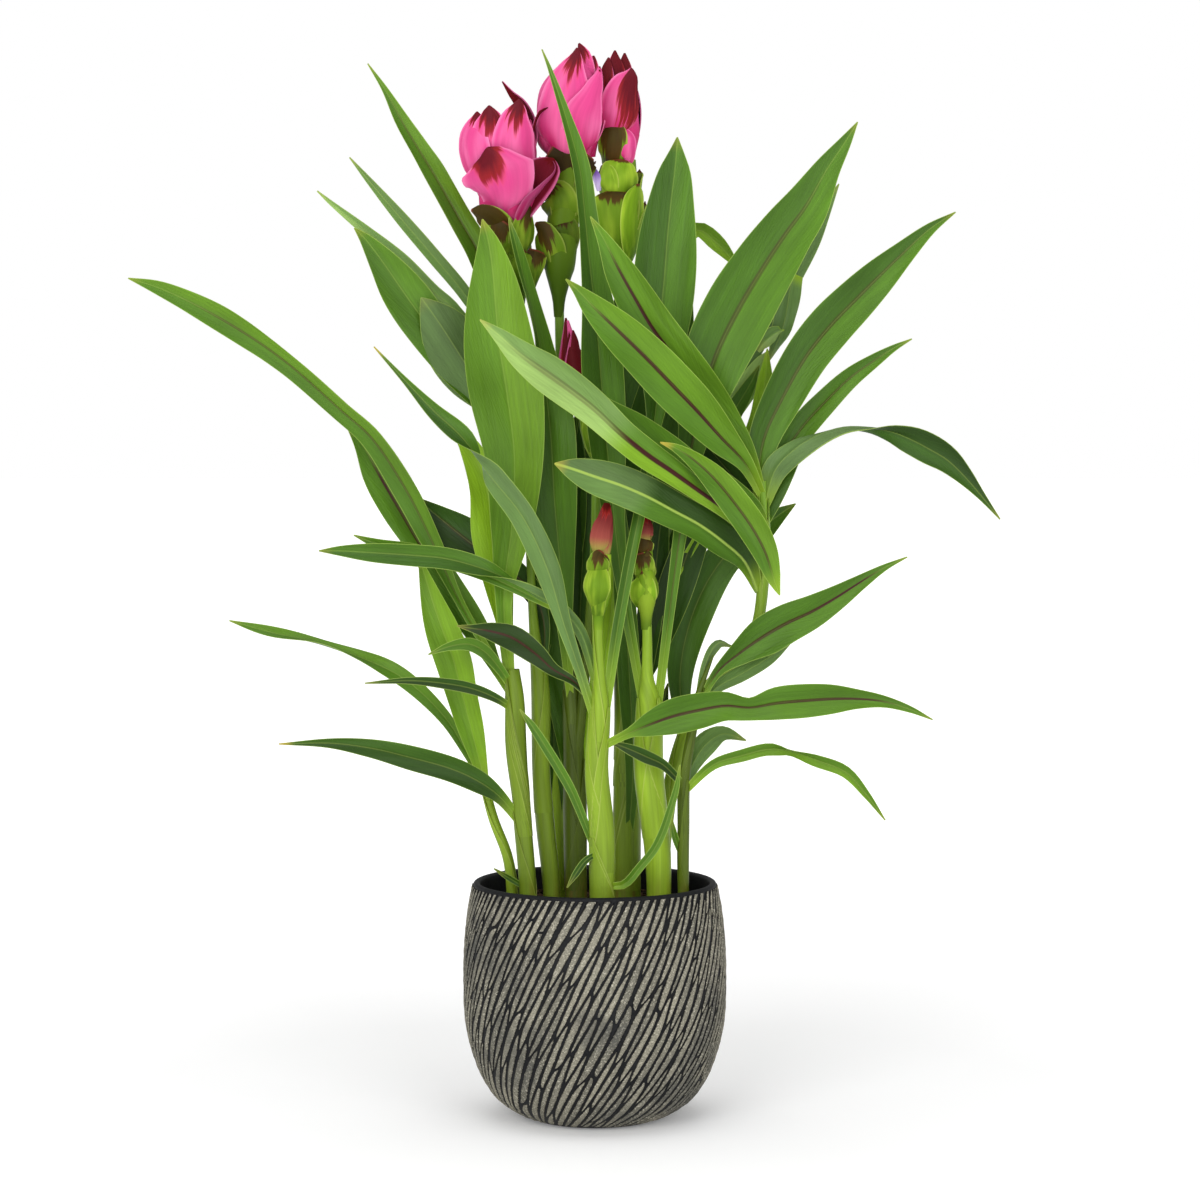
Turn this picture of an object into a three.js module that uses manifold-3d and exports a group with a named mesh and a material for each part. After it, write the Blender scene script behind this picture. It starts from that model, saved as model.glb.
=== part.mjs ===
// Potted siam tulip: a round pot with slanted carved strokes, a bed of soil with a plain hole for every stem,
// ten leafy shoots, three blooms, three buds and one small flower.
// Millimetres, +Z up, the front towards -Y, the origin at the centre of the pot's foot.
import * as THREE from "three";
import Module from "manifold-3d";

const wasm = await Module();
wasm.setup();
const { Manifold, Mesh } = wasm;

// Driving dimensions of the pot and the soil
const POT_HEIGHT = 136;
const RIM_INNER = 65;
const WALL = 6;
const STROKES = 50;
const STROKE_HEIGHT = 0.9;
const STROKE_SLANT = 0.48;
const SOIL_TOP = 120;
const ROOT_DEPTH = 15;
const GAP = 0.35;

// Driving dimensions of the leaves and the stems
const BLADE = 0.7;
const PETIOLE = 2;
const FOLD = 0.22;
const WAVE = 1.3;
const RING_STEP = 36;
const MOST_RINGS = 8;
const CUP = 1;
const BRACT_ROOT = 6;
const BRACT_TIP = 1;

// The front view is taken from this point: a place in it is read where it meets the plane y = 0.
const VIEW = { x: 3, y: -1800, z: 389 };

// Outer profile of the pot: radius and height.
const POT_PROFILE = [
  [38, 0],
  [46, 4],
  [55, 10],
  [63, 20],
  [70, 36],
  [74, 52],
  [75.5, 80],
  [75, 100],
  [73, 120],
  [70, POT_HEIGHT],
];

// Every shoot: its foot in the soil (depth y and radius), its stems and its leaves.
// A stem row is across, up (both read in the front view), depth y and radius.
// A leaf row is across, up, depth y, width and turn: 0 shows the upper face to the front, 90 the edge and 180
// the underside.
const SHOOTS = {
  shoot_left: {
    foot: [2, 3.2],
    stems: [
      [
        [-47.5, 130, 2, 3.2],
        [-50, 150, 2, 2.8],
        [-58, 172, 2, 2.5],
        [-64, 195, 2, 2.2],
      ],
    ],
    leaves: [
      [
        [-63, 192, 2, 5],
        [-70.5, 222, 0, 15],
        [-76, 243, -2, 18.5],
        [-81, 263, -3, 22],
        [-87.5, 281, -4, 20],
        [-93, 297, -4, 14],
        [-101, 324, -3, 0.8],
      ],
      [
        [-62, 190, 3, 4],
        [-75, 213, 7, 6],
        [-85, 229, 10, 8],
        [-100, 245, 12, 10],
        [-115, 256, 14, 11, 20],
        [-135, 265, 15, 11, 60],
        [-158, 273, 16, 10, 80],
        [-185, 279, 17, 8, 40],
        [-209.5, 286, 18, 0.8],
      ],
    ],
  },
  shoot_left_front: {
    foot: [-15, 4.8],
    stems: [
      [
        [-38.5, 133, -15, 4.8],
        [-42, 180, -15, 4.8],
        [-44.8, 213, -15, 5.8],
        [-45.5, 240, -15, 5.2],
        [-47, 258, -15, 3.8],
      ],
    ],
    leaves: [
      [
        [-47, 246, -14, 4, 180],
        [-57, 262, -8, 5, 180],
        [-71, 285, 2, 5, 180],
        [-80, 302, 8, 6, 180],
        [-93, 331, 10, 12, 180],
        [-108, 361, 8, 16, 180],
        [-127, 391, 4, 14, 160],
        [-145, 409, 1, 14, 125],
        [-169, 430, -1, 14, 98],
        [-185, 441.5, -2, 14, 45],
        [-200, 451, -3, 15, 10],
        [-216, 460, -4, 15],
        [-234, 469.5, -5, 12],
        [-250, 476.5, -6, 8],
        [-266, 481.5, -7, 0.8],
      ],
      [
        [-46, 240, -13, 4],
        [-57, 260, -2, 8],
        [-68, 281, 12, 16],
        [-84, 306, 20, 18],
        [-101, 331, 23, 17],
        [-112, 350, 23, 21],
        [-123, 369, 23, 20],
        [-133, 387, 23, 10],
        [-142, 398, 23, 0.8],
      ],
      [
        [-48, 246, -15, 6],
        [-51, 275, -15, 8],
        [-52, 303, -16, 11],
        [-47.5, 340, -17, 25],
        [-46, 380, -18, 35],
        [-50.5, 418, -19, 44],
        [-54.5, 443, -18, 41.5],
        [-56.5, 465, -16, 34.5],
        [-58, 484, -14, 25],
        [-60.5, 502, -12, 12.5],
        [-64, 515, -11, 0.8],
      ],
      [
        [-48, 248, -14, 5],
        [-51, 280, -8, 9],
        [-55, 308, -5, 18],
        [-59, 335, -3, 24],
        [-62, 362, -1, 20],
        [-72, 386, 2, 12],
        [-84, 400, 4, 0.8],
      ],
      [
        [-46, 234, -15, 4],
        [-54, 240, -20, 5],
        [-66, 245.5, -24, 6.5],
        [-80, 249, -27, 7],
        [-105, 251.5, -30, 4.5],
        [-132, 250, -32, 0.8],
      ],
      [
        [-43, 170, -15, 5],
        [-54, 184, -18, 8],
        [-66, 193, -22, 13],
        [-82, 200.5, -25, 15],
        [-105, 207, -27, 15],
        [-128, 212.5, -28, 11],
        [-152, 215.5, -28, 6],
        [-181.5, 215, -27, 0.8],
      ],
      [
        [-47.5, 248, -15, 4.5],
        [-55, 259, -20, 6],
        [-63, 268, -23, 8],
        [-72, 272.5, -24, 8],
        [-84, 271, -25, 5],
        [-95.5, 266.5, -25, 0.8],
      ],
      [
        [-40, 132, -15, 3],
        [-50, 138, -18, 3.5],
        [-58, 143, -20, 0.8],
      ],
    ],
  },
  shoot_left_inner: {
    foot: [2, 5],
    stems: [
      [
        [-25, 133, 2, 5],
        [-28.5, 168, 2, 5.4],
        [-31, 200, 2, 5],
        [-31.5, 245, 2, 5],
        [-35.5, 292, 4, 2.6],
        [-38, 350, 8, 2.6],
        [-42, 420, 11, 2.6],
        [-44.5, 470, 12, 2.6],
      ],
    ],
    leaves: [
      [
        [-31, 250, 3, 5],
        [-29, 283, 6, 7],
        [-36, 303, 8, 13],
        [-54, 318, 10, 21],
        [-73, 332, 14, 26],
        [-90, 346, 19, 14],
        [-103, 357, 18, 0.8],
      ],
    ],
  },
  shoot_back_left: {
    foot: [27, 5],
    stems: [
      [
        [-20, 133, 27, 5],
        [-27, 250, 29, 4],
        [-35, 330, 30, 3.2],
        [-47, 395, 30, 2.6],
      ],
    ],
    leaves: [
      [
        [-46, 385, 31, 4, 25],
        [-50, 425, 33, 8, 25],
        [-58, 470, 34, 14, 25],
        [-66, 495, 34, 16, 25],
        [-76, 513, 34, 16, 25],
        [-92, 541, 34, 16, 25],
        [-100, 554, 34, 13, 25],
        [-109, 569, 34, 9.5, 20],
        [-119, 588, 34, 4],
        [-129, 603, 34, 0.8],
      ],
      [
        [-46, 388, 29, 4, 170],
        [-58, 445, 30, 6, 170],
        [-73, 471, 30, 8.5, 170],
        [-92, 494, 30, 9, 170],
        [-110, 515, 30, 8, 170],
        [-127, 535, 30, 4.5, 170],
        [-139.5, 550, 30, 0.8, 170],
      ],
      [
        [-46, 386, 29, 4, 170],
        [-62, 440, 26, 5, 170],
        [-81, 465, 25, 7, 170],
        [-92, 474, 25, 8, 170],
        [-110, 492, 25, 8, 170],
        [-130, 508, 25, 6.5, 170],
        [-150, 524, 25, 3, 170],
        [-158, 531, 25, 0.8, 170],
      ],
      [
        [-44, 378, 29, 5],
        [-62, 405, 23, 8],
        [-80, 432, 21, 22],
        [-98, 458, 20, 28],
        [-110, 475, 20, 26],
        [-121, 491, 20, 17],
        [-131, 504, 20, 7],
        [-137, 510, 20, 0.8],
      ],
      [
        [-42, 370, 29, 6, 180],
        [-56, 404, 20, 14, 180],
        [-69, 425, 16, 33, 180],
        [-79, 441, 14, 37, 180],
        [-88, 455, 13, 28, 180],
        [-95, 465, 13, 13, 180],
        [-99, 470.5, 13, 0.8, 180],
      ],
    ],
  },
  shoot_back_middle: {
    foot: [10, 6.4],
    stems: [
      [
        [-11, 133, 10, 6.4],
        [-12, 215, 11, 5.6],
        [-16, 300, 18, 2.8],
        [-19, 400, 21, 2.7],
        [-20.5, 487, 21, 2.7],
      ],
      [
        [-12, 190, 10, 3.5],
        [-6, 250, 7, 2.8],
        [0, 330, 0, 2.6],
        [1, 382, -4, 2.6],
      ],
    ],
    leaves: [
      [
        [-14, 240, 10, 4],
        [-17, 280, 0, 9],
        [-20, 320, -5, 18],
        [-23, 355, -10, 27],
        [-25, 390, -14, 30],
        [-25.5, 418, -14.5, 27, 10],
        [-28, 443, -12, 22, 55],
        [-34, 463, -9, 17, 68],
        [-40, 483, -8, 13, 62],
        [-45, 500, -8, 7, 40],
        [-49, 516, -8, 0.8],
      ],
      [
        [-13, 185, 12, 4],
        [-15, 212, 17, 12],
        [-19, 240, 19, 16],
        [-22, 263, 19, 11],
        [-22.5, 281, 19, 0.8],
      ],
      [
        [-12, 200, 10, 4],
        [-10, 250, 14, 14],
        [-8, 300, 16, 20],
        [-6, 345, 16, 20],
        [-5, 385, 16, 14],
        [-6, 415, 16, 0.8],
      ],
    ],
  },
  shoot_front: {
    foot: [-40, 7],
    stems: [
      [
        [4.5, 133, -40, 7],
        [4, 165, -40, 6.8],
        [1, 200, -40, 6],
        [3, 236, -40, 5.2],
        [3, 252, -40, 3.2],
        [2, 275, -40, 2.6],
        [2, 292, -40, 2.6],
      ],
    ],
    leaves: [
      [
        [6, 232, -40, 5],
        [12, 275, -38, 6.5],
        [20, 320, -33, 7],
        [28, 360, -26, 7.5],
        [34, 400, -16, 10],
        [37, 430, -9, 24],
        [38, 462, -5, 36],
        [40, 485, -3, 37],
        [41.5, 505, -2, 34],
        [43.5, 525, -1, 27],
        [45.5, 542, 0, 19],
        [46.5, 553, 0, 9],
        [47, 561.5, 0, 0.8],
      ],
      [
        [1, 226, -41, 5, 180],
        [-8, 255, -44, 6, 180],
        [-18, 285, -46, 9, 180],
        [-27, 315, -48, 15, 180],
        [-41, 345, -48, 15, 180],
        [-58, 367, -47, 15, 150],
        [-66, 378, -45, 14, 90],
        [-77, 392, -42, 13, 20],
        [-92, 406, -37, 9, 0],
        [-108, 423, -31, 4, 0],
        [-126, 442.5, -25, 0.8],
      ],
      [
        [2, 244, -41, 5, 180],
        [-3, 265, -36, 6, 180],
        [-9, 281, -34, 7, 180],
        [-20, 293, -33, 8, 170],
        [-33, 301, -33, 8, 150],
        [-48, 309, -33, 9, 90],
        [-65, 316, -34, 12, 30],
        [-85, 321.5, -34, 13, 5],
        [-105, 323.5, -34, 13],
        [-128, 325, -33, 11],
        [-146, 326, -32, 6],
        [-158, 326, -31, 0.8],
      ],
      [
        [-20, 292, -33, 4],
        [-60, 311, -28, 7],
        [-100, 325, -27, 9],
        [-124, 330, -27, 6],
        [-138, 335, -27, 0.8],
      ],
      [
        [1, 238, -40, 5],
        [-12, 251, -40, 5],
        [-24, 258, -39, 8],
        [-34, 267, -38, 13],
        [-47, 276, -36, 15],
        [-60, 280, -34, 10.5],
        [-70, 281.5, -33, 5],
        [-79, 283, -32, 0.8],
      ],
      [
        [1, 152, -40, 4],
        [-12, 185, -40, 5.5],
        [-20, 200, -38, 6],
        [-35, 224, -34, 5],
        [-43, 235, -31, 0.8],
      ],
      [
        [3, 213, -41, 5],
        [20, 221.5, -47, 6],
        [31, 226, -50, 14],
        [45, 231, -53, 21],
        [60, 234.5, -55, 21],
        [75, 237, -56, 17],
        [89, 236, -57, 14, 25],
        [104, 238.5, -58, 19],
        [120, 240, -59, 20],
        [136, 241, -60, 17.5],
        [151, 241, -60, 11.5],
        [166, 239.5, -59, 7],
        [181, 235, -58, 4],
        [194, 229, -57, 0.8],
      ],
      [
        [8, 133, -42, 4],
        [17, 134, -44, 5],
        [26, 144, -45, 5],
        [34, 154, -45, 5],
        [39, 164, -44, 5],
        [43, 176, -42, 4.5],
        [47, 190, -41, 3.5],
        [49, 203, -41, 0.8],
      ],
      [
        [2, 152, -43, 3],
        [-5, 148, -47, 4],
        [-11, 140, -50, 4],
        [-16, 132, -52, 0.8],
      ],
    ],
  },
  shoot_front_right: {
    foot: [-14, 7],
    stems: [
      [
        [37, 133, -14, 7],
        [36, 155, -14, 7.6],
        [31, 200, -14, 8],
        [31, 238, -14, 6.6],
        [30, 254, -15, 3.6],
        [30, 275, -16, 2.8],
        [29.5, 292, -16, 2.8],
      ],
    ],
    leaves: [
      [
        [28, 236, -14, 5],
        [22, 270, -15, 6],
        [16, 305, -15, 7],
        [11, 340, -18, 7],
        [5, 390, -25, 8],
        [1, 430, -29, 17, 30],
        [0, 462, -31, 25, 40],
        [-3, 490, -31, 21, 42],
        [-6, 520, -30, 16, 42],
        [-9, 545, -29, 12.5, 40],
        [-17.3, 575, -27, 6.5, 30],
        [-25.5, 600, -25, 2.5],
        [-30, 611, -24, 0.8],
      ],
      [
        [36, 236, -14, 5],
        [46, 300, -15, 6.5],
        [54, 345, -18, 7],
        [58, 385, -22, 8],
        [62, 414, -24, 14],
        [68, 443, -24, 34],
        [81, 463, -22, 41],
        [97, 489, -18, 37],
        [109, 507, -15, 32],
        [120, 522, -13, 27],
        [132, 543, -11, 16],
        [142, 558, -10, 8],
        [149.5, 570, -10, 0.8],
      ],
    ],
  },
  shoot_right_low: {
    foot: [-24, 2.9],
    stems: [
      [
        [51, 133, -24, 2.9],
        [51, 165, -27, 2.8],
        [51.5, 196, -29, 2.7],
        [56, 225, -28, 2.3],
        [60, 245, -26, 1.9],
        [68, 266, -22, 0.5],
      ],
    ],
    leaves: [
      [
        [51, 187, -29, 4],
        [68, 203, -34, 6],
        [85, 208.5, -37, 7.5],
        [100, 212, -39, 7.5],
        [112, 211, -40, 8, 60],
        [128, 205.5, -41, 8, 20],
        [144, 199, -41, 7],
        [156, 186, -41, 4.5],
        [167, 171, -40, 0.8],
      ],
      [
        [52, 190, -28, 4, 180],
        [56, 203, -24, 10, 180],
        [64, 215, -22, 14, 180],
        [74, 221, -22, 9, 180],
        [87, 217, -22, 0.8, 180],
      ],
      [
        [52, 190, -30, 4],
        [40, 202.5, -34, 6],
        [30, 207.5, -37, 8],
        [20, 212, -39, 6.5],
        [8, 216.5, -41, 0.8],
      ],
      [
        [58, 234, -27, 4],
        [70, 256, -25, 6],
        [84, 268, -25, 15],
        [97, 277, -26, 23],
        [110, 284.5, -27, 23],
        [124, 291, -28, 20],
        [138, 299, -28, 15],
        [152, 308, -28, 9],
        [166, 316.5, -28, 4],
        [179, 322.5, -28, 0.8],
      ],
      [
        [57, 230, -27, 3.5, 180],
        [68, 246, -20, 7, 180],
        [85, 256, -17, 10, 180],
        [100, 265, -17, 9, 180],
        [114, 275, -17, 0.8, 180],
      ],
      [
        [59, 241, -26, 3, 180],
        [64, 262, -19, 5, 180],
        [71, 273, -16, 6, 150],
        [79, 271, -15, 0.8, 120],
      ],
      [
        [51, 148, -25, 2.5],
        [46, 162, -29, 4],
        [44, 173, -31, 0.8],
      ],
    ],
  },
  shoot_right: {
    foot: [16, 4.4],
    stems: [
      [
        [38, 133, 16, 4.4],
        [41, 170, 15, 4.2],
        [48, 208, 12, 4],
        [62, 243, 6, 3.6],
        [76, 259, 1, 3.4],
        [89, 273, -4, 3.4],
        [95, 292, -8, 3.4],
        [97, 330, -12, 3.4],
        [96, 366, -14, 2.6],
      ],
    ],
    leaves: [
      [
        [96, 356, -13, 5],
        [94, 375, -13, 9],
        [97, 392, -12, 15],
        [106, 411, -11, 20],
        [120, 436, -10, 25],
        [134, 454, -9, 27],
        [149, 469.5, -8, 25],
        [162, 482.5, -8, 21],
        [176, 496, -8, 14],
        [191, 509.5, -8, 7],
        [205.5, 519, -8, 0.8],
      ],
      [
        [96, 356, -12, 4],
        [106, 382, -4, 8],
        [118, 399, -1, 13],
        [133, 413.5, 1, 13],
        [146, 425, 2, 12],
        [160, 435, 3, 8],
        [171, 442, 3, 4],
        [181, 447, 3, 0.8],
      ],
      [
        [96, 348, -13, 5, 180],
        [103, 372, -17, 15, 180],
        [115, 384, -19, 14, 150],
        [128, 391.5, -20, 13, 122],
        [142, 396, -20, 12, 110],
        [157, 396, -20, 12, 90],
        [170, 394, -20, 14, 45],
        [181, 389.5, -20, 17, 10],
        [191.5, 384, -20, 18],
        [201.5, 378, -20, 15.5],
        [211.5, 368.5, -20, 10.5],
        [221.5, 357, -20, 5],
        [232, 344, -20, 0.8],
      ],
      [
        [96, 358, -14, 5],
        [86, 383, -20, 12],
        [74, 400, -28, 20],
        [60, 418, -38, 25],
        [45, 437, -46, 27],
        [33, 453, -52, 26.5],
        [23, 470, -58, 23],
        [13.5, 487, -62, 17.5],
        [5.5, 503, -66, 8.5],
        [-2.5, 516.5, -69, 0.8],
      ],
      [
        [96, 357, -14, 5],
        [86, 376, -28, 10],
        [72, 391, -41, 19],
        [58, 406.5, -52, 25],
        [44, 421, -61, 27],
        [29, 436.5, -69, 26],
        [13, 452, -76, 22],
        [-1, 465.5, -80, 14],
        [-10, 475, -82, 6],
        [-16.5, 481, -84, 0.8],
      ],
      [
        [97, 331, -12, 5, 180],
        [84, 342, -32, 8, 180],
        [72, 351.5, -44, 10, 180],
        [58, 361.5, -55, 12.5, 180],
        [44, 371.5, -63, 15, 180],
        [30, 381, -69, 17, 180],
        [15, 393, -74, 17.5, 180],
        [0, 407, -78, 20, 180],
        [-14, 418, -81, 22, 180],
        [-28, 428, -83, 21.5, 180],
        [-42, 438, -84, 16, 180],
        [-55, 449.5, -85, 8, 180],
        [-65.5, 458, -85, 0.8, 180],
      ],
      [
        [97, 332, -12, 5],
        [82, 342, -22, 14],
        [68, 354, -28, 22],
        [53, 368, -34, 26],
        [38, 382.5, -40, 25],
        [22, 397, -46, 18],
        [8, 409, -51, 8],
        [-1, 418, -54, 0.8],
      ],
      [
        [97, 334, -12, 6],
        [91, 350, -34, 17],
        [79, 361, -47, 21],
        [66, 370.5, -57, 18],
        [53, 379.5, -65, 11],
        [44, 384.5, -70, 5],
        [38, 387.5, -73, 0.8],
      ],
      [
        [97, 345, -13, 6],
        [97, 333, -27, 13],
        [101, 320, -32, 11],
        [104.5, 308, -35, 7],
        [108.5, 297, -37, 0.8],
      ],
      [
        [94, 302, -9, 5, 160],
        [86, 320, -22, 14, 160],
        [74, 331, -30, 20, 165],
        [60, 341, -38, 21, 170],
        [45, 349, -46, 22, 175],
        [30, 357, -53, 23, 180],
        [15, 363.5, -59, 23, 180],
        [0, 368.5, -64, 20, 180],
        [-13, 373, -68, 12, 180],
        [-23, 376, -71, 0.8, 180],
      ],
      [
        [52, 218, 11, 5],
        [49, 256, 20, 16],
        [57, 292, 23, 24],
        [73, 323, 22, 20],
        [94, 343, 20, 10],
        [115, 352, 18, 0.8],
      ],
    ],
  },
  shoot_back_right: {
    foot: [24, 8.4],
    stems: [
      [
        [18, 133, 24, 8.4],
        [18, 190, 24, 7.6],
        [17, 235, 25, 5.6],
        [14, 300, 26, 3],
        [16, 430, 34, 2.8],
        [16.5, 496, 35, 2.8],
      ],
    ],
    leaves: [
      [
        [15, 390, 32, 4],
        [33, 450, 31, 8],
        [45, 492, 31, 10],
        [58, 509, 31, 9],
        [70, 501, 31, 10],
        [84, 485, 31, 0.8],
      ],
      [
        [15, 300, 26, 4, 180],
        [40, 350, 29, 6, 180],
        [70, 400, 31, 8, 180],
        [97, 450, 31, 20, 180],
        [111, 478, 31, 25, 180],
        [122, 502, 31, 20, 180],
        [131, 520, 31, 10, 180],
        [140, 535, 31, 0.8, 180],
      ],
      [
        [15, 290, 26, 4, 180],
        [40, 335, 25, 8, 180],
        [63, 380, 24, 12, 180],
        [80, 411, 24, 19, 180],
        [90, 427, 24, 16, 180],
        [98, 442, 24, 0.8, 180],
      ],
      [
        [16, 262, 25, 4],
        [45, 310, 16, 5],
        [75, 362, 13, 5],
        [92, 400, 13, 6],
        [97, 422, 13, 8.5],
        [98.5, 441.5, 13, 0.8],
      ],
      [
        [15, 280, 26, 5],
        [24, 335, 21, 18],
        [35, 385, 20, 26],
        [44, 430, 20, 14],
        [49, 458, 20, 0.8],
      ],
      [
        [17, 230, 25, 5],
        [36, 275, 17, 16],
        [48, 310, 15, 22],
        [60, 345, 14, 16],
        [68, 375, 14, 0.8],
      ],
      [
        [18, 160, 24, 4],
        [22, 200, 10, 10],
        [20, 250, 4, 14],
        [17, 300, 2, 13],
        [14, 345, 2, 9],
        [12, 372, 2, 0.8],
      ],
      [
        [20, 196, 24, 4],
        [34, 225, 21, 10],
        [42, 245, 21, 9],
        [47, 262, 21, 0.8],
      ],
    ],
  },
};

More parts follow.
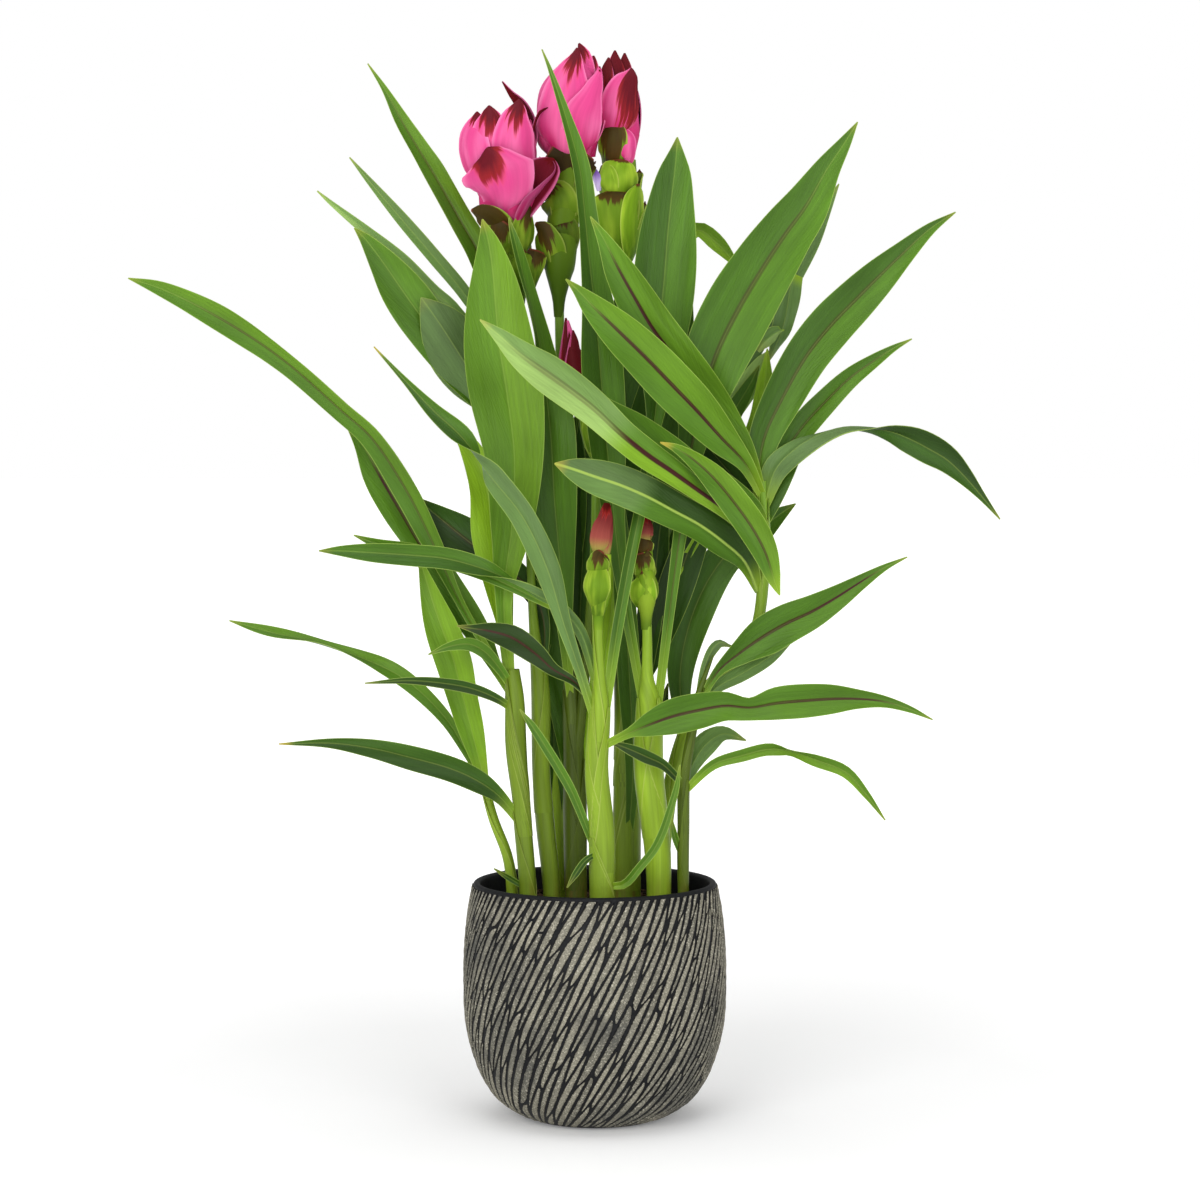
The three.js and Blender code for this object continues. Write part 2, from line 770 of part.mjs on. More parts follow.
// Every head of bracts: its foot and its top in the front view, the core of its green and of its pink part
// (height and radius), the bracts that turn round its line and the ones that are read in the front view.
// A turning bract is turn round the head (0 to the right, -90 to the front), start, end, radius at the root,
// at the belly and at the tip, and width. A bract row of the front view is like a leaf row.
const HEADS = {
  bloom_left: {
    foot: [-44, 467, 12],
    top: [-53, 583, 12],
    stalk: "shoot_left_inner",
    spike: [
      [0, 3.4],
      [14, 7],
      [30, 8],
      [43.5, 8],
    ],
    green: [
      [-60, 6, 30, 6, 11, 14, 20],
      [60, 4, 30, 6, 10, 13, 22],
      [180, 8, 34, 6, 11, 15, 20],
      [90, 18, 43, 7, 12, 13, 26],
    ],
    greenRead: [
      [
        [-47, 490, 9, 12, -30],
        [-55, 502, 1, 20, -35],
        [-62, 512, -4, 22, -40],
        [-68, 519, -5, 11, -40],
        [-71.5, 522.5, -4, 1, -40],
      ],
      [
        [-42, 486, 9, 12, 40],
        [-38, 500, 2, 19, 40],
        [-35, 511, 0, 18, 45],
        [-32, 520, -1, 2, 50],
      ],
      [
        [-42, 474, 11, 5, 60],
        [-35, 485, 8, 8, 60],
        [-31, 494, 8, 8, 50],
        [-28.5, 497, 8, 1, 40],
      ],
    ],
    core: [
      [44, 9],
      [58, 18.5],
      [76, 18],
      [98, 5],
    ],
    pink: [
      [75, 45, 108, 8, 20, 12, 36],
      [140, 45, 106, 8, 20, 14, 36],
    ],
    pinkRead: [
      [
        [-46, 511.5, 6, 8],
        [-47.5, 518, -2, 21],
        [-50.5, 527, -8, 32],
        [-54.5, 537, -10, 40],
        [-58.5, 546, -9, 33],
        [-60, 553, -6, 6],
      ],
      [
        [-50, 513, 8, 8, -40],
        [-63, 532, 2, 22, -40],
        [-68, 549, 2, 25, -35],
        [-68, 564, 4, 18, -25],
        [-67, 576.5, 7, 1, -15],
      ],
      [
        [-50, 515, 6, 8, -15],
        [-57, 545, -1, 22, -15],
        [-59, 563, 2, 20, -10],
        [-60, 580, 8, 1],
      ],
      [
        [-44, 515, 6, 8, 20],
        [-40.5, 540, -3, 25, 20],
        [-42, 560, -2, 25, 15],
        [-43.5, 574, 3, 14, 5],
        [-43.5, 583.5, 8, 1],
      ],
      [
        [-43, 513, 8, 8, 30],
        [-37, 521, 3, 16, 35],
        [-32, 532, 2, 20, 40],
        [-28, 543, 3, 15, 45],
        [-25, 551, 5, 1, 45],
      ],
      [
        [-42, 530, 14, 8, 60],
        [-34.5, 550, 12, 19, 60],
        [-35, 568, 13, 15, 60],
        [-40, 583, 14, 1, 50],
      ],
      [
        [-42, 545, 18, 8, 150],
        [-35.5, 566, 20, 11, 150],
        [-41, 581, 19, 7, 145],
        [-47, 588, 18, 5, 140],
        [-53, 593.5, 17, 1, 140],
      ],
      [
        [-42, 540, 12, 7, 90],
        [-35.5, 557, 8, 9, 80],
        [-31, 569, 5, 7, 70],
        [-26.5, 578.5, 3, 1, 60],
      ],
    ],
  },
  bloom_middle: {
    foot: [-20.5, 483, 21],
    top: [-10, 614, 20],
    stalk: "shoot_back_middle",
    spike: [
      [-12, 5],
      [0, 8.5],
      [9, 10],
      [24, 9.5],
      [44, 8.5],
      [67.6, 11],
    ],
    green: [
      [175, 8, 28, 5, 11, 15, 26],
      [0, 8, 29, 5, 11, 13, 26],
      [-90, 8, 32, 5, 11, 12, 28],
      [-165, 28, 49, 7, 11, 13, 26],
      [-45, 28, 50, 7, 11, 12, 26],
      [80, 28, 50, 7, 11, 12, 26],
      [-110, 50, 67.3, 8, 13.5, 15.5, 32],
      [10, 50, 67.3, 8, 13.5, 15, 32],
      [130, 50, 67.3, 8, 13.5, 15, 32],
    ],
    greenRead: [],
    core: [
      [68, 12],
      [80, 17.5],
      [98, 17.5],
      [114, 13.5],
      [128, 2],
    ],
    pink: [
      [60, 69, 119, 10, 22, 11, 40],
      [130, 69, 121, 10, 22, 10, 40],
    ],
    pinkRead: [
      [
        [-20, 553.5, 15, 10, -10],
        [-22, 566, 5, 24, -20],
        [-22, 580, 3, 26, -20],
        [-19, 595, 8, 20, -15],
        [-12, 610, 17, 1],
      ],
      [
        [-12, 553.5, 15, 10, 15],
        [-8, 566, 4, 26, 15],
        [-6, 580, 3, 27, 15],
        [-4, 590, 7, 16, 10],
        [-3.6, 597, 11, 1, 10],
      ],
      [
        [-24, 553.5, 19, 10, -60],
        [-32, 564, 15, 22, -60],
        [-30.5, 583, 14, 22, -60],
        [-25, 597, 17, 12, -50],
        [-20, 603, 19, 1, -50],
      ],
      [
        [-12, 575, 11, 20],
        [-10.5, 592, 10, 20],
        [-9.5, 605, 14, 11],
        [-9, 615, 18, 1],
      ],
      [
        [-10, 553.5, 18, 10, 60],
        [-1, 564, 15, 22, 60],
        [1, 580, 15, 22, 60],
        [2, 595, 17, 14, 50],
        [-1, 607.5, 19, 1, 40],
      ],
    ],
  },
  bloom_right: {
    foot: [16.5, 492, 35],
    top: [14.5, 610, 36],
    stalk: "shoot_back_right",
    spike: [
      [0, 3.6],
      [9, 6.5],
      [28, 10],
      [40, 9],
      [57.6, 8],
    ],
    green: [
      [0, 8, 34, 6, 12, 13, 26],
      [-140, 8, 37, 6, 12.5, 14, 28],
      [100, 10, 36, 6, 12.5, 13, 28],
      [-75, 26, 52, 8, 11.5, 12, 26],
      [165, 28, 54, 8, 11.5, 13, 26],
      [50, 28, 53, 8, 11, 12, 24],
    ],
    greenRead: [
      [
        [13, 533, 28, 8, -10],
        [10, 546, 23, 17, -15],
        [9, 559, 21, 14, -15],
        [8, 569, 21, 2, -15],
      ],
    ],
    core: [
      [58, 7],
      [72, 10.5],
      [94, 10],
      [112, 2],
    ],
    pink: [
      [60, 60, 113, 6, 12.5, 7, 26],
      [130, 60, 113, 6, 12.5, 7, 26],
    ],
    pinkRead: [
      [
        [11, 553, 32, 6, -15],
        [9, 575, 25, 16, -20],
        [10, 592, 26, 16, -15],
        [11.5, 604, 30, 10, -5],
        [12, 612, 33, 1],
      ],
      [
        [15, 553, 32, 6, 15],
        [15, 572, 25, 19, 15],
        [17, 585, 24, 17, 15],
        [21, 595, 27, 9, 10],
        [22.5, 602, 30, 1, 10],
      ],
      [
        [17, 552, 33, 6, 60],
        [21, 563, 29, 15, 60],
        [22.5, 588, 30, 14, 60],
        [20, 600, 32, 7, 50],
        [17, 609, 33, 1, 50],
      ],
      [
        [11, 556, 34, 6, -60],
        [6.5, 572, 31, 16, -60],
        [6, 590, 31, 13, -60],
        [8.5, 607, 34, 1, -50],
      ],
    ],
  },
  bud_high: {
    foot: [1, 379, -4],
    top: [-15.5, 458, -5],
    stalk: "shoot_back_middle",
    spike: [
      [0, 3.2],
      [8, 5.6],
      [18, 6],
      [25.7, 4.6],
    ],
    green: [
      [-90, 4, 25.4, 4.6, 6.8, 6, 12],
      [90, 4, 25.4, 4.6, 6.8, 6, 12],
    ],
    greenRead: [],
    core: [
      [26, 4.4],
      [42, 6],
      [64, 3],
      [80, 0.6],
    ],
    pink: [
      [-110, 27, 74, 4, 8.5, 2, 14],
      [50, 27, 66, 4, 8.5, 3.4, 14],
    ],
    pinkRead: [],
  },
  bud_front: {
    foot: [2, 289, -40],
    top: [8, 352, -41],
    stalk: "shoot_front",
    spike: [
      [0, 3.2],
      [6, 4.8],
      [13, 6],
      [25, 5],
      [34.7, 4],
    ],
    green: [
      [-110, 4, 34.4, 4, 6.8, 5, 11],
      [60, 4, 34.4, 4, 6.8, 5, 11],
    ],
    greenRead: [],
    core: [
      [35, 3.6],
      [43, 4.4],
      [54, 2.6],
      [63, 0.6],
    ],
    pink: [
      [-80, 36, 59, 3.4, 6.4, 2.6, 10],
      [95, 36, 55, 3.4, 6, 2, 10],
    ],
    pinkRead: [],
  },
  bud_right: {
    foot: [29.5, 289, -16],
    top: [28, 351, -17],
    stalk: "shoot_front_right",
    spike: [
      [0, 3.2],
      [8, 5.6],
      [18, 5.8],
      [32, 4.8],
      [42.7, 4],
    ],
    green: [
      [-110, 4, 36, 4, 6.8, 5.4, 11],
      [60, 4, 42.4, 4, 6.8, 5, 11],
    ],
    greenRead: [],
    core: [
      [43, 3.6],
      [50, 4.4],
      [56, 3],
      [62, 0.6],
    ],
    pink: [
      [-100, 44, 60, 3.4, 6, 1.6, 9],
      [70, 44, 58, 3.4, 6, 2, 9],
    ],
    pinkRead: [],
  },
};

// The small flower that looks out beside the middle bloom's collar: three lobes on a short neck.
const FLOWER = [
  [
    [2.5, 531, 25, 2.5],
    [0.5, 538, 22, 3],
    [-1.5, 543.5, 18, 3],
    [-2, 546, 16, 1],
  ],
  [
    [2.5, 531, 25, 2.5],
    [1.5, 539, 21, 3.4],
    [0.8, 543, 18, 1],
  ],
];

// A place of the front view, moved along its line of sight to depth y.
function sight(across, up, y) {
  const k = 1 + y / -VIEW.y;
  return new THREE.Vector3(VIEW.x + (across - VIEW.x) * k, y, VIEW.z + (up - VIEW.z) * k);
}

const smooth = (t) => {
  const c = Math.min(1, Math.max(0, t));
  return c * c * (3 - 2 * c);
};

// Evenly spaced samples of a smooth curve through the rows, every column alike.
function along(rows, count) {
  const reach = [0];
  for (let i = 1; i < rows.length; i++) {
    const step = [0, 1, 2].map((c) => rows[i][c] - rows[i - 1][c]);
    reach.push(reach[i - 1] + Math.hypot(...step));
  }
  const slope = (i, c) => {
    const a = Math.max(0, i - 1);
    const b = Math.min(rows.length - 1, i + 1);
    return (rows[b][c] - rows[a][c]) / (reach[b] - reach[a]);
  };
  const out = [];
  for (let k = 0; k <= count; k++) {
    const s = (reach[rows.length - 1] * k) / count;
    let i = 0;
    while (i < rows.length - 2 && s > reach[i + 1]) i++;
    const d = reach[i + 1] - reach[i];
    const t = (s - reach[i]) / d;
    const a = (1 + 2 * t) * (1 - t) ** 2;
    const b = t * (1 - t) ** 2 * d;
    const e = t * t * (t - 1) * d;
    out.push(rows[i].map((v, c) => a * v + b * slope(i, c) + (1 - a) * rows[i + 1][c] + e * slope(i + 1, c)));
  }
  return out;
}

const lengthOf = (rows) => {
  let sum = 0;
  for (let i = 1; i < rows.length; i++) {
    sum += Math.hypot(...[0, 1, 2].map((c) => rows[i][c] - rows[i - 1][c]));
  }
  return sum;
};

// Direction along a line of points, the direction to its front and the one to its side, at point i.
function frameAt(points, i, turn = 0) {
  const a = points[Math.max(0, i - 1)];
  const b = points[Math.min(points.length - 1, i + 1)];
  const ahead = b.clone().sub(a).normalize();
  const front = new THREE.Vector3(0, -1, 0);
  front.addScaledVector(ahead, -front.dot(ahead)).normalize();
  const side = new THREE.Vector3().crossVectors(ahead, front);
  const angle = THREE.MathUtils.degToRad(turn);
  const face = front.clone().multiplyScalar(Math.cos(angle)).addScaledVector(side, Math.sin(angle));
  const edge = side.clone().multiplyScalar(Math.cos(angle)).addScaledVector(front, -Math.sin(angle));
  return { ahead, face, edge };
}

// A closed body from its points and triangles, turned to face out.
function body(points, triangles) {
  let six = 0;
  for (const [a, b, c] of triangles) {
    six += points[a].dot(new THREE.Vector3().crossVectors(points[b], points[c]));
  }
  const turned = six < 0 ? triangles.map(([a, b, c]) => [a, c, b]) : triangles;
  const vertProperties = new Float32Array(points.flatMap((p) => [p.x, p.y, p.z]));
  return new Manifold(new Mesh({ numProp: 3, vertProperties, triVerts: new Uint32Array(turned.flat()) }));
}

// A closed body through rings of equally many points, each end closed on a middle point.
function ringed(rings) {
  const sides = rings[0].length;
  const points = rings.flat();
  const triangles = [];
  for (let k = 0; k + 1 < rings.length; k++) {
    for (let j = 0; j < sides; j++) {
      const a = k * sides + j;
      const b = k * sides + ((j + 1) % sides);
      triangles.push([a, b, b + sides], [a, b + sides, a + sides]);
    }
  }
  const ends = [0, (rings.length - 1) * sides];
  ends.forEach((from, end) => {
    const middle = new THREE.Vector3();
    for (let j = 0; j < sides; j++) middle.addScaledVector(points[from + j], 1 / sides);
    points.push(middle);
    for (let j = 0; j < sides; j++) {
      const pair = [from + j, from + ((j + 1) % sides)];
      triangles.push(end ? [...pair, points.length - 1] : [...pair.reverse(), points.length - 1]);
    }
  });
  return body(points, triangles);
}

// A thin closed body between two grids of points that lie face to face, triangulated alike.
function sheet(face, back) {
  const rows = face.length;
  const wide = face[0].length;
  const points = [...face.flat(), ...back.flat()];
  const far = rows * wide;
  const at = (k, j) => k * wide + j;
  const triangles = [];
  const quad = (a, b, c, d) => triangles.push([a, b, c], [a, c, d]);
  for (let k = 0; k + 1 < rows; k++) {
    for (let j = 0; j + 1 < wide; j++) {
      const [a, b, c, d] = [at(k, j), at(k, j + 1), at(k + 1, j + 1), at(k + 1, j)];
      triangles.push([a, b, c], [a, c, d], [far + a, far + c, far + b], [far + a, far + d, far + c]);
    }
    quad(at(k, 0), at(k + 1, 0), far + at(k + 1, 0), far + at(k, 0));
    const last = wide - 1;
    quad(at(k + 1, last), at(k, last), far + at(k, last), far + at(k + 1, last));
  }
  for (let j = 0; j + 1 < wide; j++) {
    quad(at(0, j + 1), at(0, j), far + at(0, j), far + at(0, j + 1));
    quad(at(rows - 1, j), at(rows - 1, j + 1), far + at(rows - 1, j + 1), far + at(rows - 1, j));
  }
  return body(points, triangles);
}

// A stem: a round tube along its rows, a little grown for the hole that holds it.
function stem(points, radii, sides, grow = 0) {
  const rings = points.map((p, i) => {
    const { face, edge } = frameAt(points, i);
    return Array.from({ length: sides }, (_, j) => {
      const angle = ((j + 0.5) * 2 * Math.PI) / sides;
      const r = radii[i] + grow;
      return p.clone().addScaledVector(edge, r * Math.cos(angle)).addScaledVector(face, r * Math.sin(angle));
    });
  });
  return ringed(rings);
}

// A leaf: a folded blade with waved edges on a thick narrow petiole.
function leaf(rows) {
  const full = rows.map(([across, up, y, wide, turn = 0]) => [across, up, y, wide, turn]);
  const widest = Math.max(...rows.map((row) => row[3]));
  const count = Math.min(MOST_RINGS, Math.max(4, Math.round(lengthOf(rows) / RING_STEP)));
  const parts = widest > 34 ? 4 : 2;
  const rings = along(full, count);
  const line = rings.map(([across, up, y]) => sight(across, up, y));
  const front = [];
  const back = [];
  rings.forEach((ring, k) => {
    const s = k / count;
    const { face, edge } = frameAt(line, k, ring[4]);
    const half = Math.max(0.4, ring[3] / 2);
    const thick = PETIOLE + (BLADE - PETIOLE) * smooth(s / 0.35);
    const near = [];
    const rear = [];
    for (let j = 0; j <= parts; j++) {
      const u = (2 * j) / parts - 1;
      const sway = widest > 15 ? WAVE * Math.sin(14 * s + 2 * u) * smooth(4 * s) * smooth(3 - 3 * s) : 0;
      const lift = Math.abs(u) * (half * Math.sin(FOLD) + sway);
      const p = line[k].clone().addScaledVector(edge, u * half * Math.cos(FOLD)).addScaledVector(face, lift);
      near.push(p.clone().addScaledVector(face, thick / 2));
      rear.push(p.clone().addScaledVector(face, -thick / 2));
    }
    front.push(near);
    back.push(rear);
  });
  return sheet(front, back);
}

// The line of a head: from its foot along its own up, with the directions right and back of it.
function headLine({ foot, top }) {
  const from = sight(...foot);
  const up = sight(...top).sub(from).normalize();
  const right = new THREE.Vector3(1, 0, 0);
  right.addScaledVector(up, -right.dot(up)).normalize();
  const back = new THREE.Vector3().crossVectors(up, right);
  const at = (height, radius, angle) =>
    from
      .clone()
      .addScaledVector(up, height)
      .addScaledVector(right, radius * Math.cos(angle))
      .addScaledVector(back, radius * Math.sin(angle));
  return at;
}

// The round middle of a head, from rows of height and radius.
function headCore(at, rows, sides = 8) {
  const rings = rows.map(([height, radius]) =>
    Array.from({ length: sides }, (_, j) => at(height, radius, (2 * Math.PI * j) / sides)),
  );
  return ringed(rings);
}

// One bract: a cupped blade wrapped round the line of its head.
function bract(at, [turn, start, end, root, belly, tip, wide]) {
  const short = end - start < 35;
  const stations = short ? [0, 0.65, 1] : [0, 0.42, 0.8, 1];
  const widths = short ? [0.7, 1, 0.08] : [0.65, 1, 0.66, 0.06];
  const face = [];
  const back = [];
  stations.forEach((v, k) => {
    const r = (1 - v) ** 2 * root + 2 * v * (1 - v) * (2 * belly - (root + tip) / 2) + v * v * tip;
    const thick = BRACT_ROOT + (BRACT_TIP - BRACT_ROOT) * v;
    const radius = Math.max(r, 0.5 + BRACT_TIP);
    const half = Math.min(1.15, (widths[k] * wide) / 2 / Math.max(radius, 4));
    const outer = [];
    const inner = [];
    for (let j = 0; j <= 2; j++) {
      const u = j - 1;
      const angle = THREE.MathUtils.degToRad(turn) + u * half;
      const height = start + (end - start) * v;
      outer.push(at(height, radius, angle));
      inner.push(at(height, Math.max(0.5, radius - thick), angle));
    }
    face.push(outer);
    back.push(inner);
  });
  return sheet(face, back);
}

// One bract read in the front view: a cupped blade, its hollow side away from its face.
function petal(rows) {
  const full = rows.map(([across, up, y, wide, turn = 0]) => [across, up, y, wide, turn]);
  const rings = along(full, 4);
  const line = rings.map(([across, up, y]) => sight(across, up, y));
  const front = [];
  const back = [];
  rings.forEach((ring, k) => {
    const { face, edge } = frameAt(line, k, ring[4]);
    const half = Math.max(0.5, ring[3] / 2) / Math.sin(CUP);
    const thick = BRACT_ROOT + (BRACT_TIP - BRACT_ROOT) * (k / 4) ** 2;
    const near = [];
    const rear = [];
    for (let j = 0; j <= 2; j++) {
      const a = CUP * (j - 1);
      const out = face.clone().multiplyScalar(Math.cos(a)).addScaledVector(edge, Math.sin(a));
      const p = line[k].clone().addScaledVector(face, -half).addScaledVector(out, half);
      near.push(p);
      rear.push(p.clone().addScaledVector(out, -Math.min(thick, half)));
    }
    front.push(near);
    back.push(rear);
  });
  return sheet(front, back);
}

const fuse = (solids) => solids.reduce((whole, next) => whole.add(next));
const cut = (solid, tools) => tools.reduce((whole, next) => whole.subtract(next), solid);

// Radius of the pot's outside at a height.
function potRadius(z) {
  const i = POT_PROFILE.findIndex((row, k) => k > 0 && z <= row[1]);
  const [r0, z0] = POT_PROFILE[i - 1];
  const [r1, z1] = POT_PROFILE[i];
  return r0 + ((r1 - r0) * (z - z0)) / (z1 - z0);
}

// The pot's outside: columns that lean with the strokes, every second one on a crest. Each stroke rises and
// sinks along its length, out of step with its neighbours.
function potOutside() {
  const levels = [0, 5, 15, 34, 55, 76, 97, 117, 132, 134, POT_HEIGHT];
  const rings = levels.map((z, k) => {
    const carved = k > 0 && k < levels.length - 2;
    return Array.from({ length: 2 * STROKES }, (_, j) => {
      const angle = (Math.PI * j) / STROKES + (STROKE_SLANT * z) / 75;
      const stroke = j >> 1;
      const swell = (k + stroke * 2 + (stroke % 5)) % 4 ? 1 : 0.25;
      const rise = j % 2 ? -0.5 : STROKE_HEIGHT * swell;
      const r = potRadius(z) + (carved ? rise : 0);
      return new THREE.Vector3(r * Math.cos(angle), r * Math.sin(angle), z);
    });
  });
  return ringed(rings);
}

// A plain turned body from rows of radius and height, with a bump of the surface where one is given.
function turned(rows, sides, bump = () => 0) {
  const rings = rows.map(([r, z], k) =>
    Array.from({ length: sides }, (_, j) => {
      const angle = (2 * Math.PI * j) / sides;
      return new THREE.Vector3(r * Math.cos(angle), r * Math.sin(angle), z + bump(k, j));
    }),
  );
  return ringed(rings);
}

// Inside of the pot, smaller by the given amount.
function potInside(less, top) {
  const rows = [
    [36, WALL],
    [50, WALL + 6],
    [61, 28],
    [67, 50],
    [69.5, 80],
    [68.5, 105],
    [67, 118],
    [RIM_INNER, top],
  ];
  return rows.map(([r, z], k) => [r - less, z + (k === 0 ? less : 0)]);
}

function pot() {
  return cut(potOutside(), [turned(potInside(0, POT_HEIGHT + 1), 28)]);
}

// The soil fills the pot's inside up to a lumpy top, with a hole for each stem.
function soil(holes) {
  const side = potInside(GAP, SOIL_TOP).filter((_, k) => k % 2 === 0);
  const top = [
    [58, SOIL_TOP + 1],
    [40, SOIL_TOP + 2],
    [20, SOIL_TOP + 2],
  ];
  const bump = (k, j) => (k < side.length ? 0 : 1.4 * Math.sin(7 * k + 2.3 * j) * Math.cos(1.7 * j + k));
  return cut(turned([...side, ...top], 28, bump), holes);
}

// Points and radii of a stem that branches off another.
const branched = (rows) => ({
  points: rows.map(([across, up, depth]) => sight(across, up, depth)),
  radii: rows.map((row) => row[3]),
});

// Points and radii of a stem that stands in the soil: its foot is a depth and a radius.
function rooted([y, radius], rows) {
  const line = branched(rows);
  line.points.unshift(new THREE.Vector3(line.points[0].x, y, SOIL_TOP - ROOT_DEPTH));
  line.radii.unshift(radius);
  return line;
}

const leafGreen = 0x4c7d2c;
const materials = {
  pot: new THREE.MeshStandardMaterial({ color: 0x5b5c55, roughness: 0.8 }),
  soil: new THREE.MeshStandardMaterial({ color: 0x3a2a1e, roughness: 1 }),
  pink: () => new THREE.MeshStandardMaterial({ color: 0xe15096, roughness: 0.5 }),
  green: () => new THREE.MeshStandardMaterial({ color: 0x7a8c3a, roughness: 0.5 }),
};

const root = new THREE.Group();

function place(name, solid, material) {
  const mesh = solid.getMesh();
  const geometry = new THREE.BufferGeometry();
  const coordinates = new Float32Array(mesh.numVert * 3);
  for (let i = 0; i < mesh.numVert; i++) {
    for (let c = 0; c < 3; c++) coordinates[3 * i + c] = mesh.vertProperties[i * mesh.numProp + c];
  }
  geometry.setAttribute("position", new THREE.BufferAttribute(coordinates, 3));
  geometry.setIndex(new THREE.BufferAttribute(new Uint32Array(mesh.triVerts), 1));
  geometry.computeVertexNormals();
  const made = new THREE.Mesh(geometry, material);
  made.name = name;
  root.add(made);
}

const sleeves = {};
const holes = [];
Object.entries(SHOOTS).forEach(([name, { foot, stems, leaves }], index) => {
  const solids = [];
  sleeves[name] = [];
  stems.forEach((rows, order) => {
    const line = order ? branched(rows) : rooted(foot, rows);
    const sides = Math.max(...line.radii) > 3.8 ? 8 : 6;
    solids.push(stem(line.points, line.radii, sides));
    const [near, end] = line.points.slice(-2);
    const past = end.clone().addScaledVector(end.clone().sub(near).normalize(), 3 * GAP);
    sleeves[name].push(stem([near, past], line.radii.slice(-2), sides, GAP));
    if (!order) {
      const low = line.points[0].clone();
      low.z -= GAP;
      holes.push(stem([low, line.points[1]], line.radii.slice(0, 2), sides, GAP));
    }
  });
  const whole = fuse([...solids, ...leaves.map(leaf)]);
  const color = new THREE.Color(leafGreen).offsetHSL(0.004 * (index % 5) - 0.008, 0, 0.01 * (index % 3));
  place(name, whole, new THREE.MeshStandardMaterial({ color, roughness: 0.45 }));
});

Object.entries(HEADS).forEach(([name, head]) => {
  const at = headLine(head);
  const turning = (rows) => rows.map((row) => bract(at, row));
  const green = fuse([headCore(at, head.spike), ...turning(head.green), ...head.greenRead.map(petal)]);
  const pink = fuse([headCore(at, head.core), ...turning(head.pink), ...head.pinkRead.map(petal)]);
  place(name + "_spike", cut(green, sleeves[head.stalk]), materials.green());
  place(name + "_coma", pink, materials.pink());
});

const violet = new THREE.MeshStandardMaterial({ color: 0x8a5fb0, roughness: 0.5 });
place("flower", fuse(FLOWER.map(petal)), violet);
place("pot", pot(), materials.pot);
place("soil", soil(holes), materials.soil);

export default root;
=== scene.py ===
"""Potted siam tulip: the looks of the pot, the soil, the leafy shoots, the blooms and the buds.

Blender works in metres and this script's readings are in millimetres, in one frame: +Z up, the front
towards -Y, the origin at the centre of the pot's foot. A reading of the front view is across, up and
depth y."""
import math
import random

import bpy
import numpy as np
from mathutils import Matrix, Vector


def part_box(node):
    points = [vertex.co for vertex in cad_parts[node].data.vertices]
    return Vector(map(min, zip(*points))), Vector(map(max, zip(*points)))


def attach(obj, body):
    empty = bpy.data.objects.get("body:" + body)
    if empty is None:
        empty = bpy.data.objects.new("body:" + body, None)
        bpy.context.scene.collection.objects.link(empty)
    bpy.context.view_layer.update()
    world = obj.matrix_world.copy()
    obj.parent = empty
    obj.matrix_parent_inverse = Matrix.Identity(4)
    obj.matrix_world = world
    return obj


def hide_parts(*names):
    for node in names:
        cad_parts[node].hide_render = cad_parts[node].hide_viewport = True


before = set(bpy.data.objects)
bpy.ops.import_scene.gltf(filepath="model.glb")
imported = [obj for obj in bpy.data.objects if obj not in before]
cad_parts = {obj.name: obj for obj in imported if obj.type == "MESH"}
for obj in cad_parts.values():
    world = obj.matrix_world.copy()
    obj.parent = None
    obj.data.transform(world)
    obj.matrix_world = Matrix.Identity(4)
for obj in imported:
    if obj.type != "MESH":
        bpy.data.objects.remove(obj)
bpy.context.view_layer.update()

MM = 0.001

# The point that the front view is taken from, its downward tilt in degrees and its lens
VIEW = (3.0, -1800.0, 389.0)
VIEW_TILT = 2.9
LENS = 94.35
SENSOR = 36.0

# Light: the white room, the floor with its own glow near the pot and far off, and the lamps with their
# places, sizes and powers, all in metres and watts
ROOM_LIGHT = 0.5
FLOOR_HALF = 30.0
FLOOR_GLOW = 0.14
FAR_GLOW = 0.8
GLOW_START = 0.3
GLOW_END = 1.6
LIGHT_AIM = (0, 0, 0.35)
LAMPS = [
    ("key", (-0.85, -2.0, 1.0), 1.2, 23.0),
    ("fill", (0.9, -2.0, 0.85), 1.2, 16.0),
    ("top", (0.0, -0.1, 2.2), 1.8, 17.0),
]

# Pot: its height from the frame, its rim, its outer wall, its foot, and its inside from the rim down past the
# soil, each as rows of radius and height
POT_HEIGHT = round(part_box("pot")[1][2] / MM, 1)
RIM_OUTER = 70.0
RIM_INNER = 66.0
LIP = 1.9
POT_PROFILE = [
    (38, 0), (46, 4), (55, 10), (63, 20), (70, 36), (74, 52), (75.5, 80), (75, 100), (73, 120),
    (RIM_OUTER, POT_HEIGHT),
]
POT_FOOT = [(0, 0), (34, 0), (37.2, 0.3)]
POT_INSIDE = [(RIM_INNER, POT_HEIGHT - 4), (66.6, 126), (67.4, 118), (68, 108)]
WALL_START = 0.8
POT_SIDES = 144

# Strokes of the pot's wall: the level and width of the groove between them, how high a stroke stands in it,
# how far apart, long and aslant strokes are, and how they are sown and drawn
GROOVE_LEVEL = -0.6
GROOVE_WIDTH = 1.1
STROKE_RISE = 1.0
STROKE_PITCH = 5.1
STROKE_LENGTH = 50.0
STROKE_SLANT = 0.5
STROKE_TRIES = 26000
SEED_LENGTH = 0.72 * STROKE_LENGTH
SEED_SPACE = 0.72
SHORTEST_STROKE = 7.0
STROKE_ROW = 2.6
STROKE_ACROSS = np.array([-1, -0.82, -0.5, 0, 0.5, 0.82, 1])[None]

# Soil: its level and radius, and the chips that lie on it
SOIL_TOP = 121.0
SOIL_RADIUS = 67.2
SOIL_RINGS = 46
SOIL_SIDES = 150
SOIL_BUMPS = 26
CHIPS = 900
CHIP_REACH = 66
CHIP_RINGS = [(-1, 0.3), (-0.4, 1), (0.5, 0.9), (1, 0.3)]

